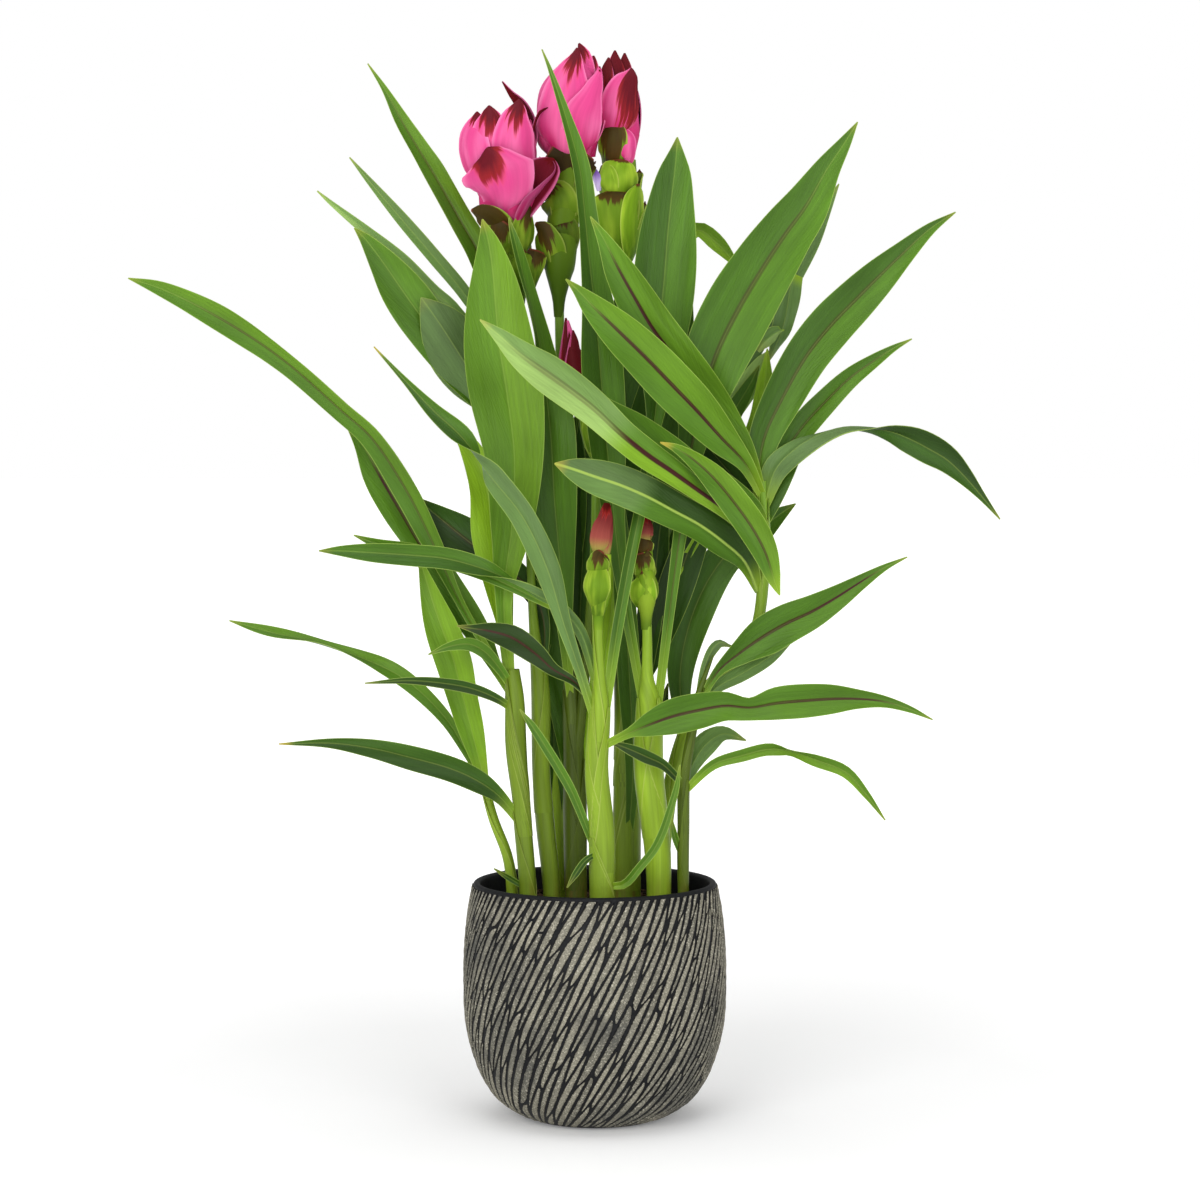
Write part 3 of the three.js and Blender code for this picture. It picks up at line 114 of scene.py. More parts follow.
# Stems and leaves: how deep a stem stands, how thick a blade and its petiole are, how far a blade is folded
# up from flat in radians and how much it waves, then how finely they are drawn
ROOT_DEPTH = 15.0
BLADE = 0.45
PETIOLE = 1.9
FOLD = 0.3
WAVE = 1.3
LEAF_ROW = 4.0
LEAF_HALF = [0.03, 0.1, 0.22, 0.4, 0.6, 0.8, 0.94, 1]
LEAF_ACROSS = np.array([-x for x in reversed(LEAF_HALF)] + [0] + LEAF_HALF)[None]
STEM_ROW = 5.0
STEM_SIDES = 28

# Bracts: how thick they are, how far one is cupped in radians, how wide a short and a long one are along
# their length (the places and the shares of the width there) and how finely they are drawn
BRACT = 0.7
CUP = 1.0
SHORT_BRACT = ([0, 0.45, 0.7, 0.86, 0.95, 1], [0.8, 1, 0.95, 0.72, 0.42, 0.05])
LONG_BRACT = ([0, 0.45, 0.7, 0.86, 0.95, 1], [0.7, 1, 0.88, 0.6, 0.33, 0.05])
SHORT_LIMIT = 35
GREEN_FLARE = 1.2
BRACT_ROWS = 19
PETAL_ROWS = 23
BRACT_ACROSS = np.linspace(-1, 1, 17)[None]
CORE_ROWS = 24

# The distance from a tip that the points of stems and cores give
FAR = 999.0

# What a leaf's look means: how light it is (its own tone with painted light and shade), how dark its midrib
# is (pale under 0), how yellow its tip is, the share of its length from the base where its underside looks
# like its upper face, and how much lighter one half is painted than the other, a painted light across the
# fold
LOOKS = {
    "plain": (0.0, 0.12, 0.1, 0.0, 0.12),
    "ribbed": (0.1, 1.0, 0.1, 0.0, 0.12),
    "faint": (0.0, 0.6, 0.1, 0.0, 0.15),
    "bright": (0.95, 0.05, 0.3, 0.0, 0.1),
    "light": (0.3, 0.1, 0.1, 0.0, 0.15),
    "grey": (0.2, 0.0, 0.1, 0.0, 0.2),
    "deep": (-0.5, 0.2, 0.0, 0.0, 0.1),
    "dusk": (-0.95, 0.1, 0.0, 0.0, 0.1),
    "tipped": (0.1, 0.15, 1.0, 0.0, 0.15),
    "tipped ribbed": (0.0, 0.8, 1.0, 0.0, 0.2),
    "pale rib": (0.1, -0.8, 0.5, 0.58, 0.3),
    "turning": (0.4, 1.2, 0.3, 0.5, 0.2),
}

# What a bract's look means: how light it is (its own tone with painted light and shade; over 0.2 in the pink
# part, a bud's brown), how far the dark of its tip reaches in millimetres, how that dark runs (0 a rounded
# patch, 1 streaks along the middle, more than 1 streaks to its right) and how dark its hollow inside is
# painted, a painted shade
BRACTS = {
    "plain": (0.0, 1.5, 1.0, 0.3),
    "patch": (-0.12, 10.5, 0.0, 0.4),
    "short dark": (0.0, 9.0, 1.0, 0.4),
    "dark apex": (0.0, 11.0, 1.0, 0.4),
    "streaked": (0.0, 19.0, 1.0, 0.4),
    "long streaks": (-0.3, 36.0, 1.1, 0.5),
    "right streaks": (-0.05, 42.0, 1.5, 0.4),
    "dark streaks": (-0.6, 31.0, 1.0, 0.8),
    "curled": (-0.6, 40.0, 1.0, 1.0),
    "cup": (-0.45, 5.0, 1.0, 1.0),
    "bud": (0.5, 8.0, 1.0, 0.6),
    "dusky": (-0.5, 60.0, 1.5, 1.0),
    "deep pouch": (-0.45, 0.0, 1.0, 0.6),
    "lip": (-0.75, 3.0, 1.0, 0.3),
    "bud side": (-0.6, 70.0, 1.5, 0.8),
    "dark bud": (-0.7, 60.0, 1.2, 0.8),
    "pouch": (0.0, 2.0, 1.0, 0.3),
    "bright pouch": (0.45, 2.0, 1.0, 0.3),
    "bright streaked": (0.1, 9.0, 1.0, 0.3),
    "tipped pouch": (-0.4, 6.0, 1.0, 0.6),
    "bud scale": (-0.25, 9.0, 1.0, 0.4),
    "brown top": (-0.15, 10.0, 1.0, 0.7),
    "lime pouch": (0.9, 2.0, 1.0, 0.3),
    "dark pouch": (-0.9, 8.0, 1.0, 0.7),
    "half brown": (0.0, 34.0, 1.0, 0.8),
    "olive": (-0.2, 16.0, 1.0, 0.6),
    "purple": (-0.1, 40.0, 1.0, 0.8),
    "collar": (-0.8, 34.0, 1.0, 1.0),
}

# The readings of the front view, gathered by the short functions below
SHOOTS = []
HEADS = []


def with_turns(rows, turn=0):
    """Rows of a leaf or bract, each with a turn."""
    return [row if len(row) == 5 else (*row, turn) for row in rows]


def shoot(name, depth, radius, shade):
    """Begins a shoot: the depth y and the radius of its foot in the soil, and how light its stems are: a
    painted shade.
    """
    SHOOTS.append({"name": name, "depth": depth, "radius": radius, "shade": shade, "stems": [], "leaves": []})


def stem(*rows):
    """A stem of the shoot: rows of across, up, depth y and radius. The first stem stands in the soil."""
    last = SHOOTS[-1]
    if not last["stems"]:
        rows = ((rows[0][0], SOIL_TOP - ROOT_DEPTH, last["depth"], last["radius"]), *rows)
    last["stems"].append(rows)


def blade(look, lighter, *rows, turn=0):
    """A leaf of the shoot: its look, how much lighter it is than that (painted light and shade with its own
    tone), and rows of across, up, depth y, width and turn, where 0 shows the upper face to the front, 90 the
    edge and 180 the underside. A row without a turn has the one that the leaf gives."""
    SHOOTS[-1]["leaves"].append((look, lighter, with_turns(rows, turn)))


def flower_head(name, foot, top):
    """Begins a head of bracts: the foot and the top of its line."""
    HEADS.append({"name": name, "foot": foot, "top": top, "parts": []})


def part(kind, look, *rows):
    """Begins the green spike or the pink coma of the head: the look of its core, and rows of height along the
    head's line and radius."""
    HEADS[-1]["parts"].append({"kind": kind, "look": look, "core": rows, "wrapped": [], "seen": []})


def wrapped(look, *row):
    """A bract that turns round the head's line: its look, its turn in degrees (0 to the right, -90 to the
    front), start, end, radius at the root, at the belly and at the tip, and width."""
    HEADS[-1]["parts"][-1]["wrapped"].append((look, row))


def seen(look, *rows, turn=0):
    """A bract that is read in the front view: its look and rows like a leaf's."""
    HEADS[-1]["parts"][-1]["seen"].append((look, with_turns(rows, turn)))


shoot("shoot_left", depth=2, radius=3.2, shade=0.85)
stem((-47.5, 130, 2, 3.2), (-50, 150, 2, 2.8), (-58, 172, 2, 2.5), (-64, 195, 2, 2.2))
blade("bright", -0.5, (-63, 192, 2, 5), (-70.5, 222, 0, 15), (-76, 243, -2, 18.5), (-81, 263, -3, 22),
      (-87.5, 281, -4, 20), (-93, 297, -4, 14), (-101, 324, -3, 0.8))
blade("plain", 0.1, (-62, 190, 3, 4), (-75, 213, 7, 6), (-85, 229, 10, 8), (-100, 245, 12, 10),
      (-115, 256, 14, 11, 20), (-135, 265, 15, 11, 60), (-158, 273, 16, 10, 80), (-185, 279, 17, 8, 40),
      (-209.5, 286, 18, 0.8))

shoot("shoot_left_front", depth=-15, radius=4.8, shade=0.52)
stem((-38.5, 133, -15, 4.8), (-42, 180, -15, 4.8), (-44.8, 213, -15, 5.8), (-45.5, 240, -15, 5.2),
     (-47, 258, -15, 3.8))
blade("faint", 0.1, (-47, 246, -14, 4), (-57, 262, -8, 5), (-71, 285, 2, 5), (-80, 302, 8, 6),
      (-93, 331, 10, 12, -10), (-108, 361, 8, 16, -15), (-127, 390, 4, 14.5, -20),
      (-145, 406.5, 1, 13, -24), (-169, 428, -1, 12.5, -28), (-185, 440.5, -2, 13.5, -20),
      (-200, 450.5, -3, 15, -10), (-216, 460, -4, 15), (-234, 469.5, -5, 12), (-250, 476.5, -6, 8),
      (-266, 481.5, -7, 0.8))
blade("ribbed", 0, (-46, 240, -13, 4), (-57, 260, -2, 8), (-68, 281, 12, 16), (-84, 306, 20, 18),
      (-101, 331, 23, 17), (-112, 350, 23, 21), (-123, 369, 23, 20), (-133, 387, 23, 10),
      (-142, 398, 23, 0.8))
blade("bright", -0.65, (-48, 246, -15, 6), (-51, 275, -15, 8), (-52, 303, -16, 11), (-47.5, 340, -17, 25),
      (-46, 380, -18, 35), (-50.5, 418, -19, 44), (-54.5, 443, -18, 41.5), (-56.5, 465, -16, 34.5),
      (-58, 484, -14, 25), (-60.5, 502, -12, 12.5), (-64, 515, -11, 0.8))
blade("light", 0.75, (-48, 248, -14, 5), (-51, 280, -8, 9), (-55, 308, -5, 18), (-59, 335, -3, 24),
      (-62, 362, -1, 20), (-72, 386, 2, 12), (-84, 400, 4, 0.8))
blade("plain", -0.7, (-46, 234, -15, 4), (-54, 240, -20, 5), (-66, 245.5, -24, 6.5), (-80, 249, -27, 7),
      (-105, 251.5, -30, 4.5), (-132, 250, -32, 0.8))
blade("tipped", -0.65, (-43, 170, -15, 5), (-54, 184, -18, 8), (-66, 193, -22, 13), (-82, 200.5, -25, 15),
      (-105, 207, -27, 15), (-128, 212.5, -28, 11), (-152, 215.5, -28, 6), (-181.5, 215, -27, 0.8))
blade("deep", 0.45, (-47.5, 248, -15, 4.5), (-55, 259, -20, 6), (-63, 268, -23, 8), (-72, 272.5, -24, 8),
      (-84, 271, -25, 5), (-95.5, 266.5, -25, 0.8))
blade("light", -0.7, (-40, 132, -15, 3), (-50, 138, -18, 3.5), (-58, 143, -20, 0.8))

shoot("shoot_left_inner", depth=2, radius=5, shade=0.6)
stem((-25, 133, 2, 5), (-28.5, 168, 2, 5.4), (-31, 200, 2, 5), (-31.5, 245, 2, 5), (-35.5, 292, 4, 2.6),
     (-38, 350, 8, 2.6), (-42, 420, 11, 2.6), (-44.5, 470, 12, 2.6))
blade("faint", -0.7, (-31, 250, 3, 5), (-29, 283, 6, 7), (-36, 303, 8, 13), (-54, 318, 10, 21),
      (-73, 332, 14, 26), (-90, 346, 19, 14), (-103, 357, 18, 0.8))

shoot("shoot_back_left", depth=27, radius=5, shade=1.1)
stem((-20, 133, 27, 5), (-27, 250, 29, 4), (-35, 330, 30, 3.2), (-47, 395, 30, 2.6))
blade("faint", 0.1, (-46, 385, 31, 4), (-50, 425, 33, 8), (-58, 470, 34, 14), (-66, 495, 34, 16),
      (-76, 513, 34, 16), (-92, 541, 34, 16), (-100, 554, 34, 13), (-109, 569, 34, 9.5, 20),
      (-119, 588, 34, 4, 0), (-129, 603, 34, 0.8, 0), turn=25)
blade("plain", -0.15, (-46, 388, 29, 4), (-58, 445, 30, 6), (-73, 471, 30, 8.5), (-92, 494, 30, 9),
      (-110, 515, 30, 8), (-127, 535, 30, 4.5), (-139.5, 550, 30, 0.8), turn=170)
blade("plain", 0.15, (-46, 386, 29, 4), (-62, 440, 26, 5), (-81, 465, 25, 7), (-92, 474, 25, 8),
      (-110, 492, 25, 8), (-130, 508, 25, 6.5), (-150, 524, 25, 3), (-158, 531, 25, 0.8), turn=170)
blade("plain", 0, (-44, 378, 29, 5), (-62, 405, 23, 8), (-80, 432, 21, 22), (-98, 458, 20, 28),
      (-110, 475, 20, 26), (-121, 491, 20, 17), (-131, 504, 20, 7), (-137, 510, 20, 0.8))
blade("deep", -0.3, (-42, 370, 29, 6), (-56, 404, 20, 14), (-69, 425, 16, 33), (-79, 441, 14, 37),
      (-88, 455, 13, 28), (-95, 465, 13, 13), (-99, 470.5, 13, 0.8), turn=180)
blade("dusk", 0.6, (-22, 150, 27, 4), (-23, 200, 24, 12), (-25, 250, 20, 18), (-28, 290, 18, 17),
      (-31, 325, 17, 10), (-33, 350, 17, 0.8))

shoot("shoot_back_middle", depth=10, radius=6.4, shade=0.24)
stem((-11, 133, 10, 6.4), (-12, 215, 11, 5.6), (-16, 300, 18, 2.8), (-19, 400, 21, 2.7),
     (-20.5, 487, 21, 2.7))
stem((-12, 190, 10, 3.5), (-6, 250, 7, 2.8), (0, 330, 0, 2.6), (1, 382, -4, 2.6))
blade("plain", -0.15, (-14, 240, 10, 4), (-17, 280, 2, 9), (-20, 320, -2, 18), (-23, 355, -5, 27),
      (-25, 390, -7.5, 30), (-28, 418, -8, 25, 25), (-31.5, 443, -8, 20, 56), (-36, 463, -9, 17, 66),
      (-41, 483, -8, 13, 62), (-45, 500, -8, 7, 40), (-49, 516, -8, 0.8))
blade("deep", 0.4, (-13, 185, 12, 4), (-15, 212, 17, 12), (-19, 240, 19, 16), (-22, 263, 19, 11),
      (-22.5, 281, 19, 0.8))
blade("dusk", 0.45, (-12, 200, 10, 4), (-10, 250, 14, 14), (-8, 300, 16, 20), (-6, 345, 16, 20),
      (-5, 385, 16, 14), (-6, 415, 16, 0.8))
blade("dusk", 0.6, (-16, 300, 18, 4), (-13, 330, 17, 14), (-12, 360, 17, 16), (-11, 385, 17, 11),
      (-10, 408, 17, 0.8))
blade("light", 0.8, (-11, 180, 12, 4), (0, 230, 12, 12), (8, 280, 12, 16), (12, 320, 12, 14),
      (16, 350, 12, 0.8))

shoot("shoot_front", depth=-40, radius=7, shade=0.8)
stem((4.5, 133, -40, 7), (4, 165, -40, 6.8), (1, 200, -40, 6), (3, 236, -40, 5.2), (3, 252, -40, 3.2),
     (2, 275, -40, 2.6), (2, 292, -40, 2.6))
blade("light", -0.5, (6, 232, -40, 5), (12, 275, -38, 6.5), (20, 320, -33, 7), (28, 360, -26, 7.5),
      (34, 400, -16, 10), (37, 430, -9, 24), (38, 462, -5, 36), (40, 485, -3, 37), (41.5, 505, -2, 34),
      (43.5, 525, -1, 27), (45.5, 542, 0, 19), (46.5, 553, 0, 9), (47, 561.5, 0, 0.8))
blade("tipped", -0.45, (1, 226, -41, 5), (-8, 255, -44, 6), (-18, 285, -46, 9), (-27, 315, -48, 15),
      (-41, 345, -48, 15), (-58, 367, -47, 15, 150), (-66, 378, -45, 14, 90), (-77, 392, -42, 13, 20),
      (-92, 406, -37, 9, 0), (-108, 423, -31, 4, 0), (-126, 442.5, -25, 0.8, 0), turn=180)
blade("plain", -0.3, (2, 244, -41, 5, 180), (-3, 265, -36, 6, 180), (-9, 281, -34, 7, 180),
      (-20, 293, -33, 8, 170), (-33, 301, -33, 8, 150), (-48, 309, -33, 9, 90), (-65, 316, -34, 12, 30),
      (-85, 321.5, -34, 13, 5), (-105, 323.5, -34, 13), (-128, 325, -33, 11), (-146, 326, -32, 6),
      (-158, 326, -31, 0.8))
blade("deep", 0.5, (-20, 292, -33, 4), (-60, 311, -28, 7), (-100, 325, -27, 9), (-124, 330, -27, 6),
      (-138, 335, -27, 0.8))
blade("ribbed", -1.05, (1, 238, -40, 5), (-12, 251, -40, 5), (-24, 258, -39, 8), (-34, 267, -38, 13),
      (-47, 276, -36, 15), (-60, 280, -34, 10.5), (-70, 281.5, -33, 5), (-79, 283, -32, 0.8))
blade("plain", -0.1, (1, 152, -40, 4), (-12, 185, -40, 5.5), (-20, 200, -38, 6), (-35, 224, -34, 5),
      (-43, 235, -31, 0.8))
blade("ribbed", -0.1, (3, 213, -41, 5), (20, 221.5, -47, 6), (31, 226, -50, 14), (45, 231, -53, 21),
      (60, 234.5, -55, 21), (75, 237, -56, 17), (89, 236, -57, 14, 25), (104, 238.5, -58, 19),
      (120, 240, -59, 20), (136, 241, -60, 17.5), (151, 241, -60, 11.5), (166, 239.5, -59, 7),
      (181, 235, -58, 4), (194, 229, -57, 0.8))
blade("light", -0.25, (8, 133, -42, 4), (17, 134, -44, 5), (26, 144, -45, 5), (34, 154, -45, 5),
      (39, 164, -44, 5), (43, 176, -42, 4.5), (47, 190, -41, 3.5), (49, 203, -41, 0.8))
blade("light", -0.9, (2, 152, -43, 3), (-5, 148, -47, 4), (-11, 140, -50, 4), (-16, 132, -52, 0.8))

shoot("shoot_front_right", depth=-14, radius=7, shade=1.02)
stem((37, 133, -14, 7), (36, 155, -14, 7.6), (31, 200, -14, 8), (31, 238, -14, 6.6), (30, 254, -15, 3.6),
     (30, 275, -16, 2.8), (29.5, 292, -16, 2.8))
blade("plain", -0.2, (28, 236, -14, 5), (22, 270, -15, 6), (16, 305, -16, 8), (11, 345, -19, 13),
      (7, 385, -25, 21, 10), (3.5, 425, -29, 26, 22), (0.5, 460, -31, 26, 36), (-3, 490, -31, 21, 42),
      (-6, 520, -30, 16, 42), (-9, 545, -29, 12.5, 40), (-17.3, 575, -27, 6.5, 30), (-25.5, 600, -25, 2.5),
      (-30, 611, -24, 0.8))
blade("faint", -0.1, (36, 236, -14, 5), (44, 300, -15, 6.5), (50, 345, -18, 9), (54, 378, -22, 14),
      (60, 406, -24, 25), (69, 437, -24, 38), (82, 464, -22, 41), (97, 489, -18, 37), (109, 507, -15, 32),
      (120, 522, -13, 27), (132, 543, -11, 16), (142, 558, -10, 8), (149.5, 570, -10, 0.8))

shoot("shoot_right_low", depth=-24, radius=2.9, shade=0.3)
stem((51, 133, -24, 2.9), (51, 165, -27, 2.8), (51.5, 196, -29, 2.7), (56, 225, -28, 2.3),
     (60, 245, -26, 1.9), (68, 266, -22, 0.5))
blade("plain", 0.25, (51, 187, -29, 4), (68, 203, -34, 6), (85, 208.5, -37, 7.5), (100, 212, -39, 7.5),
      (112, 211, -40, 8, 60), (128, 205.5, -41, 8, 20), (144, 199, -41, 7), (156, 186, -41, 4.5),
      (167, 171, -40, 0.8))
blade("plain", -0.05, (52, 190, -28, 4), (56, 203, -24, 10), (64, 215, -22, 14), (74, 221, -22, 9),
      (87, 217, -22, 0.8), turn=180)
blade("deep", -0.2, (52, 190, -30, 4), (40, 202.5, -34, 6), (30, 207.5, -37, 8), (20, 212, -39, 6.5),
      (8, 216.5, -41, 0.8))
blade("ribbed", -0.2, (58, 234, -27, 4), (70, 256, -25, 6), (84, 268, -25, 15), (97, 277, -26, 23),
      (110, 284.5, -27, 23), (124, 291, -28, 20), (138, 299, -28, 15), (152, 308, -28, 9),
      (166, 316.5, -28, 4), (179, 322.5, -28, 0.8))
blade("plain", -0.1, (57, 230, -27, 3.5), (68, 246, -20, 7), (85, 256, -17, 10), (100, 265, -17, 9),
      (114, 275, -17, 0.8), turn=180)
blade("deep", -0.2, (59, 241, -26, 3, 180), (64, 262, -19, 5, 180), (71, 273, -16, 6, 150),
      (79, 271, -15, 0.8, 120))
blade("plain", 0, (51, 148, -25, 2.5), (46, 162, -29, 4), (44, 173, -31, 0.8))

shoot("shoot_right", depth=16, radius=4.4, shade=0.72)
stem((38, 133, 16, 4.4), (41, 170, 15, 4.2), (48, 208, 12, 4), (62, 243, 6, 3.6), (76, 259, 1, 3.1),
     (89, 273, -4, 2.8), (95, 292, -8, 2.7), (97, 330, -12, 2.8), (96, 366, -14, 2.6))
blade("faint", -0.2, (96, 350, -13, 6), (94, 372, -13, 13), (97, 391, -12, 19), (106, 411, -11, 23.5),
      (120, 436, -10, 26), (134, 454, -9, 27), (149, 469.5, -8, 25), (162, 482.5, -8, 21),
      (176, 496, -8, 14), (191, 509.5, -8, 7), (205.5, 519, -8, 0.8))
blade("faint", -0.1, (96, 350, -12, 6), (106, 377, -5, 13), (118, 396, -1, 16), (133, 412.5, 1, 14.5),
      (146, 425, 2, 12), (160, 435, 3, 8), (171, 442, 3, 4), (181, 447, 3, 0.8))
blade("plain", -0.6, (96, 348, -13, 5, 180), (103, 372, -17, 15, 180), (115, 384, -19, 14, 150),
      (128, 391.5, -20, 13, 122), (142, 396, -20, 12, 110), (157, 396, -20, 12, 90),
      (170, 394, -20, 14, 45), (181, 389.5, -20, 17, 10), (191.5, 384, -20, 18), (201.5, 378, -20, 15.5),
      (211.5, 368.5, -20, 10.5), (221.5, 357, -20, 5), (232, 344, -20, 0.8))
blade("ribbed", 0, (96, 358, -14, 5), (86, 383, -20, 12), (74, 400, -28, 20), (60, 418, -38, 25),
      (45, 437, -46, 27), (33, 453, -52, 26.5), (23, 470, -58, 23), (13.5, 487, -62, 17.5),
      (5.5, 503, -66, 8.5), (-2.5, 516.5, -69, 0.8))
blade("ribbed", 0.05, (96, 357, -14, 5), (86, 376, -28, 10), (72, 391, -41, 19), (58, 406.5, -52, 25),
      (44, 421, -61, 27), (29, 436.5, -69, 26), (13, 452, -76, 22), (-1, 465.5, -80, 14),
      (-10, 475, -82, 6), (-16.5, 481, -84, 0.8))
blade("turning", -0.08, (97, 331, -12, 5), (84, 342, -32, 8), (72, 351.5, -44, 10), (58, 361.5, -55, 12.5),
      (44, 371.5, -63, 15), (30, 381, -69, 17), (15, 393, -74, 17.5), (0, 407, -78, 20),
      (-14, 418, -81, 22), (-28, 428, -83, 21.5), (-42, 438, -84, 16), (-55, 449.5, -85, 8),
      (-65.5, 458, -85, 0.8), turn=180)
blade("ribbed", -0.25, (97, 334, -12, 8), (86, 346, -22, 24), (70, 357, -28, 30), (53, 369, -34, 28),
      (38, 382.5, -40, 25), (22, 397, -46, 18), (8, 409, -51, 8), (-1, 418, -54, 0.8))
blade("tipped ribbed", 0.15, (106, 300.5, -41, 0.8), (103.5, 307, -42, 6), (101.5, 313.5, -43, 10),
      (97.5, 325.5, -45, 15), (90.9, 338, -47, 17.5), (81.1, 352, -50, 17.5), (68.7, 367, -56, 15.5),
      (56.7, 378, -64, 10), (46, 385, -71, 5), (37.5, 388, -74, 0.8))
blade("plain", 0, (97, 334, -12, 5), (96, 338, -24, 7), (93, 342, -36, 7), (88, 346, -46, 5))
blade("deep", -0.1, (96, 330, -9, 5), (92, 350, -7, 18), (80, 367, -6, 26), (66, 384, -5, 24),
      (54, 400, -5, 15), (45, 413, -5, 0.8))
blade("deep", 0.1, (96, 340, -12, 6), (100, 352, -10, 11), (106, 364, -9, 11), (114, 377, -8, 6),
      (120, 386, -8, 0.8))
blade("pale rib", -0.55, (94, 302, -9, 5, 160), (86, 320, -22, 14, 160), (74, 331, -30, 20, 165),
      (60, 341, -38, 21, 170), (45, 349, -46, 22, 175), (30, 357, -53, 23), (15, 363.5, -59, 23),
      (0, 368.5, -64, 20), (-13, 373, -68, 12), (-23, 376, -71, 0.8), turn=180)
blade("deep", 0.2, (52, 218, 11, 5), (49, 256, 20, 16), (57, 292, 23, 24), (73, 321, 22, 22),
      (93, 337, 20, 18), (106, 347, 19, 9), (115, 353, 18, 0.8))

shoot("shoot_back_right", depth=24, radius=8.4, shade=0.55)
stem((18, 133, 24, 8.4), (18, 190, 24, 7.6), (17, 235, 25, 5.6), (14, 300, 26, 3), (16, 430, 34, 2.8),
     (16.5, 496, 35, 2.8))
blade("plain", 0.5, (15, 390, 32, 4), (33, 450, 31, 8), (45, 492, 31, 10), (58, 509, 31, 9),
      (70, 501, 31, 10), (84, 485, 31, 0.8))
blade("plain", -0.15, (15, 300, 26, 4), (40, 350, 29, 6), (70, 400, 31, 8), (97, 455, 31, 14),
      (110, 481, 31, 16), (122, 503, 31, 14.5), (131, 520, 31, 8), (139, 535, 31, 0.8), turn=180)
blade("plain", 0.3, (15, 290, 26, 4), (40, 335, 25, 8), (63, 380, 24, 12), (78, 406, 24, 14),
      (88, 421, 22, 14), (96, 434, 22, 9), (101, 441, 22, 0.8), turn=180)
blade("plain", -0.3, (113, 484, 27, 13, 180), (111, 474, 22, 15, 175), (109.5, 464, 19, 15, 170),
      (107, 453, 17, 12, 165), (103, 443, 16, 7, 160), (99, 434, 16, 0.8, 160))
blade("grey", 0, (107, 452, 18, 5, 170), (102.5, 450, 14, 9), (97, 445.5, 13, 9), (93, 440, 13, 3),
      turn=165)
blade("dusk", 0.7, (16, 262, 25, 4), (45, 330, 22, 8), (66, 380, 20, 11), (76, 400, 20, 12),
      (88, 420, 20, 8), (94, 432, 20, 0.8))
blade("light", 0.9, (16, 262, 25, 4), (45, 310, 16, 5), (75, 362, 13, 6), (92, 400, 13, 9),
      (97, 422, 13, 9.5), (98.5, 441.5, 13, 0.8))
blade("deep", 0.15, (15, 280, 26, 5), (22, 335, 20, 24), (31, 382, 19, 34), (41, 425, 19, 28),
      (50, 456, 19, 14), (55, 476, 20, 0.8))
blade("deep", -0.25, (17, 230, 25, 5), (36, 275, 17, 16), (48, 310, 15, 22), (60, 345, 14, 16),
      (68, 375, 14, 0.8))
blade("dusk", 0.75, (18, 136, 25, 2), (20, 165, 17, 5), (22, 205, 10, 10), (20, 250, 4, 14),
      (17, 300, 2, 13), (14, 345, 2, 9), (12, 372, 2, 0.8))
blade("dusk", 0, (20, 190, 24, 4), (31, 215, 21, 9), (38, 234, 21, 8), (42, 250, 21, 0.8))
blade("dusk", 0.5, (15, 290, 27, 4), (13, 335, 27, 16), (11, 375, 27, 27), (12, 415, 27, 30),
      (14, 452, 27, 18), (15, 480, 28, 0.8))
blade("dusk", 0.3, (18, 200, 24, 4), (26, 250, 20, 12), (33, 300, 17, 16), (37, 335, 15, 12),
      (40, 362, 15, 0.8))

flower_head("bloom_left", foot=(-44, 467, 12), top=(-53, 583, 12))
part("spike", "pouch", (-14, 2.8), (-4, 3.4), (8, 6), (18, 7.6), (30, 8), (43.5, 8))
wrapped("pouch", -60, 6, 30, 6, 10, 12, 20)
wrapped("pouch", 60, 4, 30, 6, 10, 13, 22)
wrapped("pouch", 180, 8, 34, 6, 11, 15, 20)
wrapped("brown top", 90, 18, 43, 7, 12, 13, 26)
seen("purple", (-49.5, 501.5, 9, 10, -30), (-54, 508.5, 2, 16, -32), (-59.5, 514, -4, 17, -38),
     (-65.5, 518, -6, 12, -42), (-70.5, 520, -5, 1.5, -44))
seen("brown top", (-51.5, 490.5, 8, 12), (-52.5, 499, 0, 18), (-53, 506, -2, 19), (-52.5, 511, -3, 14),
     (-51, 513.5, -3, 4))
seen("olive", (-43, 490.5, 8, 10, 40), (-40.5, 501, 2, 16, 40), (-39, 510, 1, 17, 45),
     (-38, 518.5, 1, 10, 50), (-36.5, 526, 2, 2, 50))
seen("brown top", (-36, 475, 12, 6, 30), (-34, 483, 9, 8, 30), (-33, 489.5, 8, 11, 25),
     (-33, 494.5, 8, 12, 20), (-32.5, 497.5, 9, 8, 20))
part("coma", "plain", (44, 9), (58, 17.5), (76, 17), (98, 5))
wrapped("streaked", 75, 45, 108, 8, 20, 12, 36)
wrapped("streaked", 140, 45, 106, 8, 20, 14, 36)
seen("patch", (-47.5, 508.5, 8, 3, -12), (-50, 514.5, 2, 10), (-52.5, 521, -3, 21), (-53, 528, -7, 31),
     (-54.5, 535, -10, 38.5), (-56.5, 540.5, -11.5, 42, -13), (-57.5, 544, -12, 40, -12),
     (-58.5, 548, -11.5, 30, -12), (-59.5, 551.5, -10.5, 20, -10), (-60.5, 554, -9.5, 10, -10),
     (-61.5, 555.5, -9, 2, -10), turn=-14)
seen("short dark", (-55.5, 526, 6, 9, -40), (-67.5, 543, 1, 21, -40), (-70.5, 553, 0, 22, -38),
     (-70.5, 561.5, 1, 19, -34), (-68.5, 568.5, 3, 13, -25), (-67, 573.5, 5, 6, -18), (-67, 576, 6, 1, -15))
seen("streaked", (-53, 523, 6, 8, -15), (-60, 548.5, -1, 18, -12), (-60.5, 560, -2, 19, -10),
     (-60, 567.5, -1, 18, -6), (-59.5, 573.5, 2, 13), (-60, 577.5, 5, 6), (-60, 579.5, 7, 1))
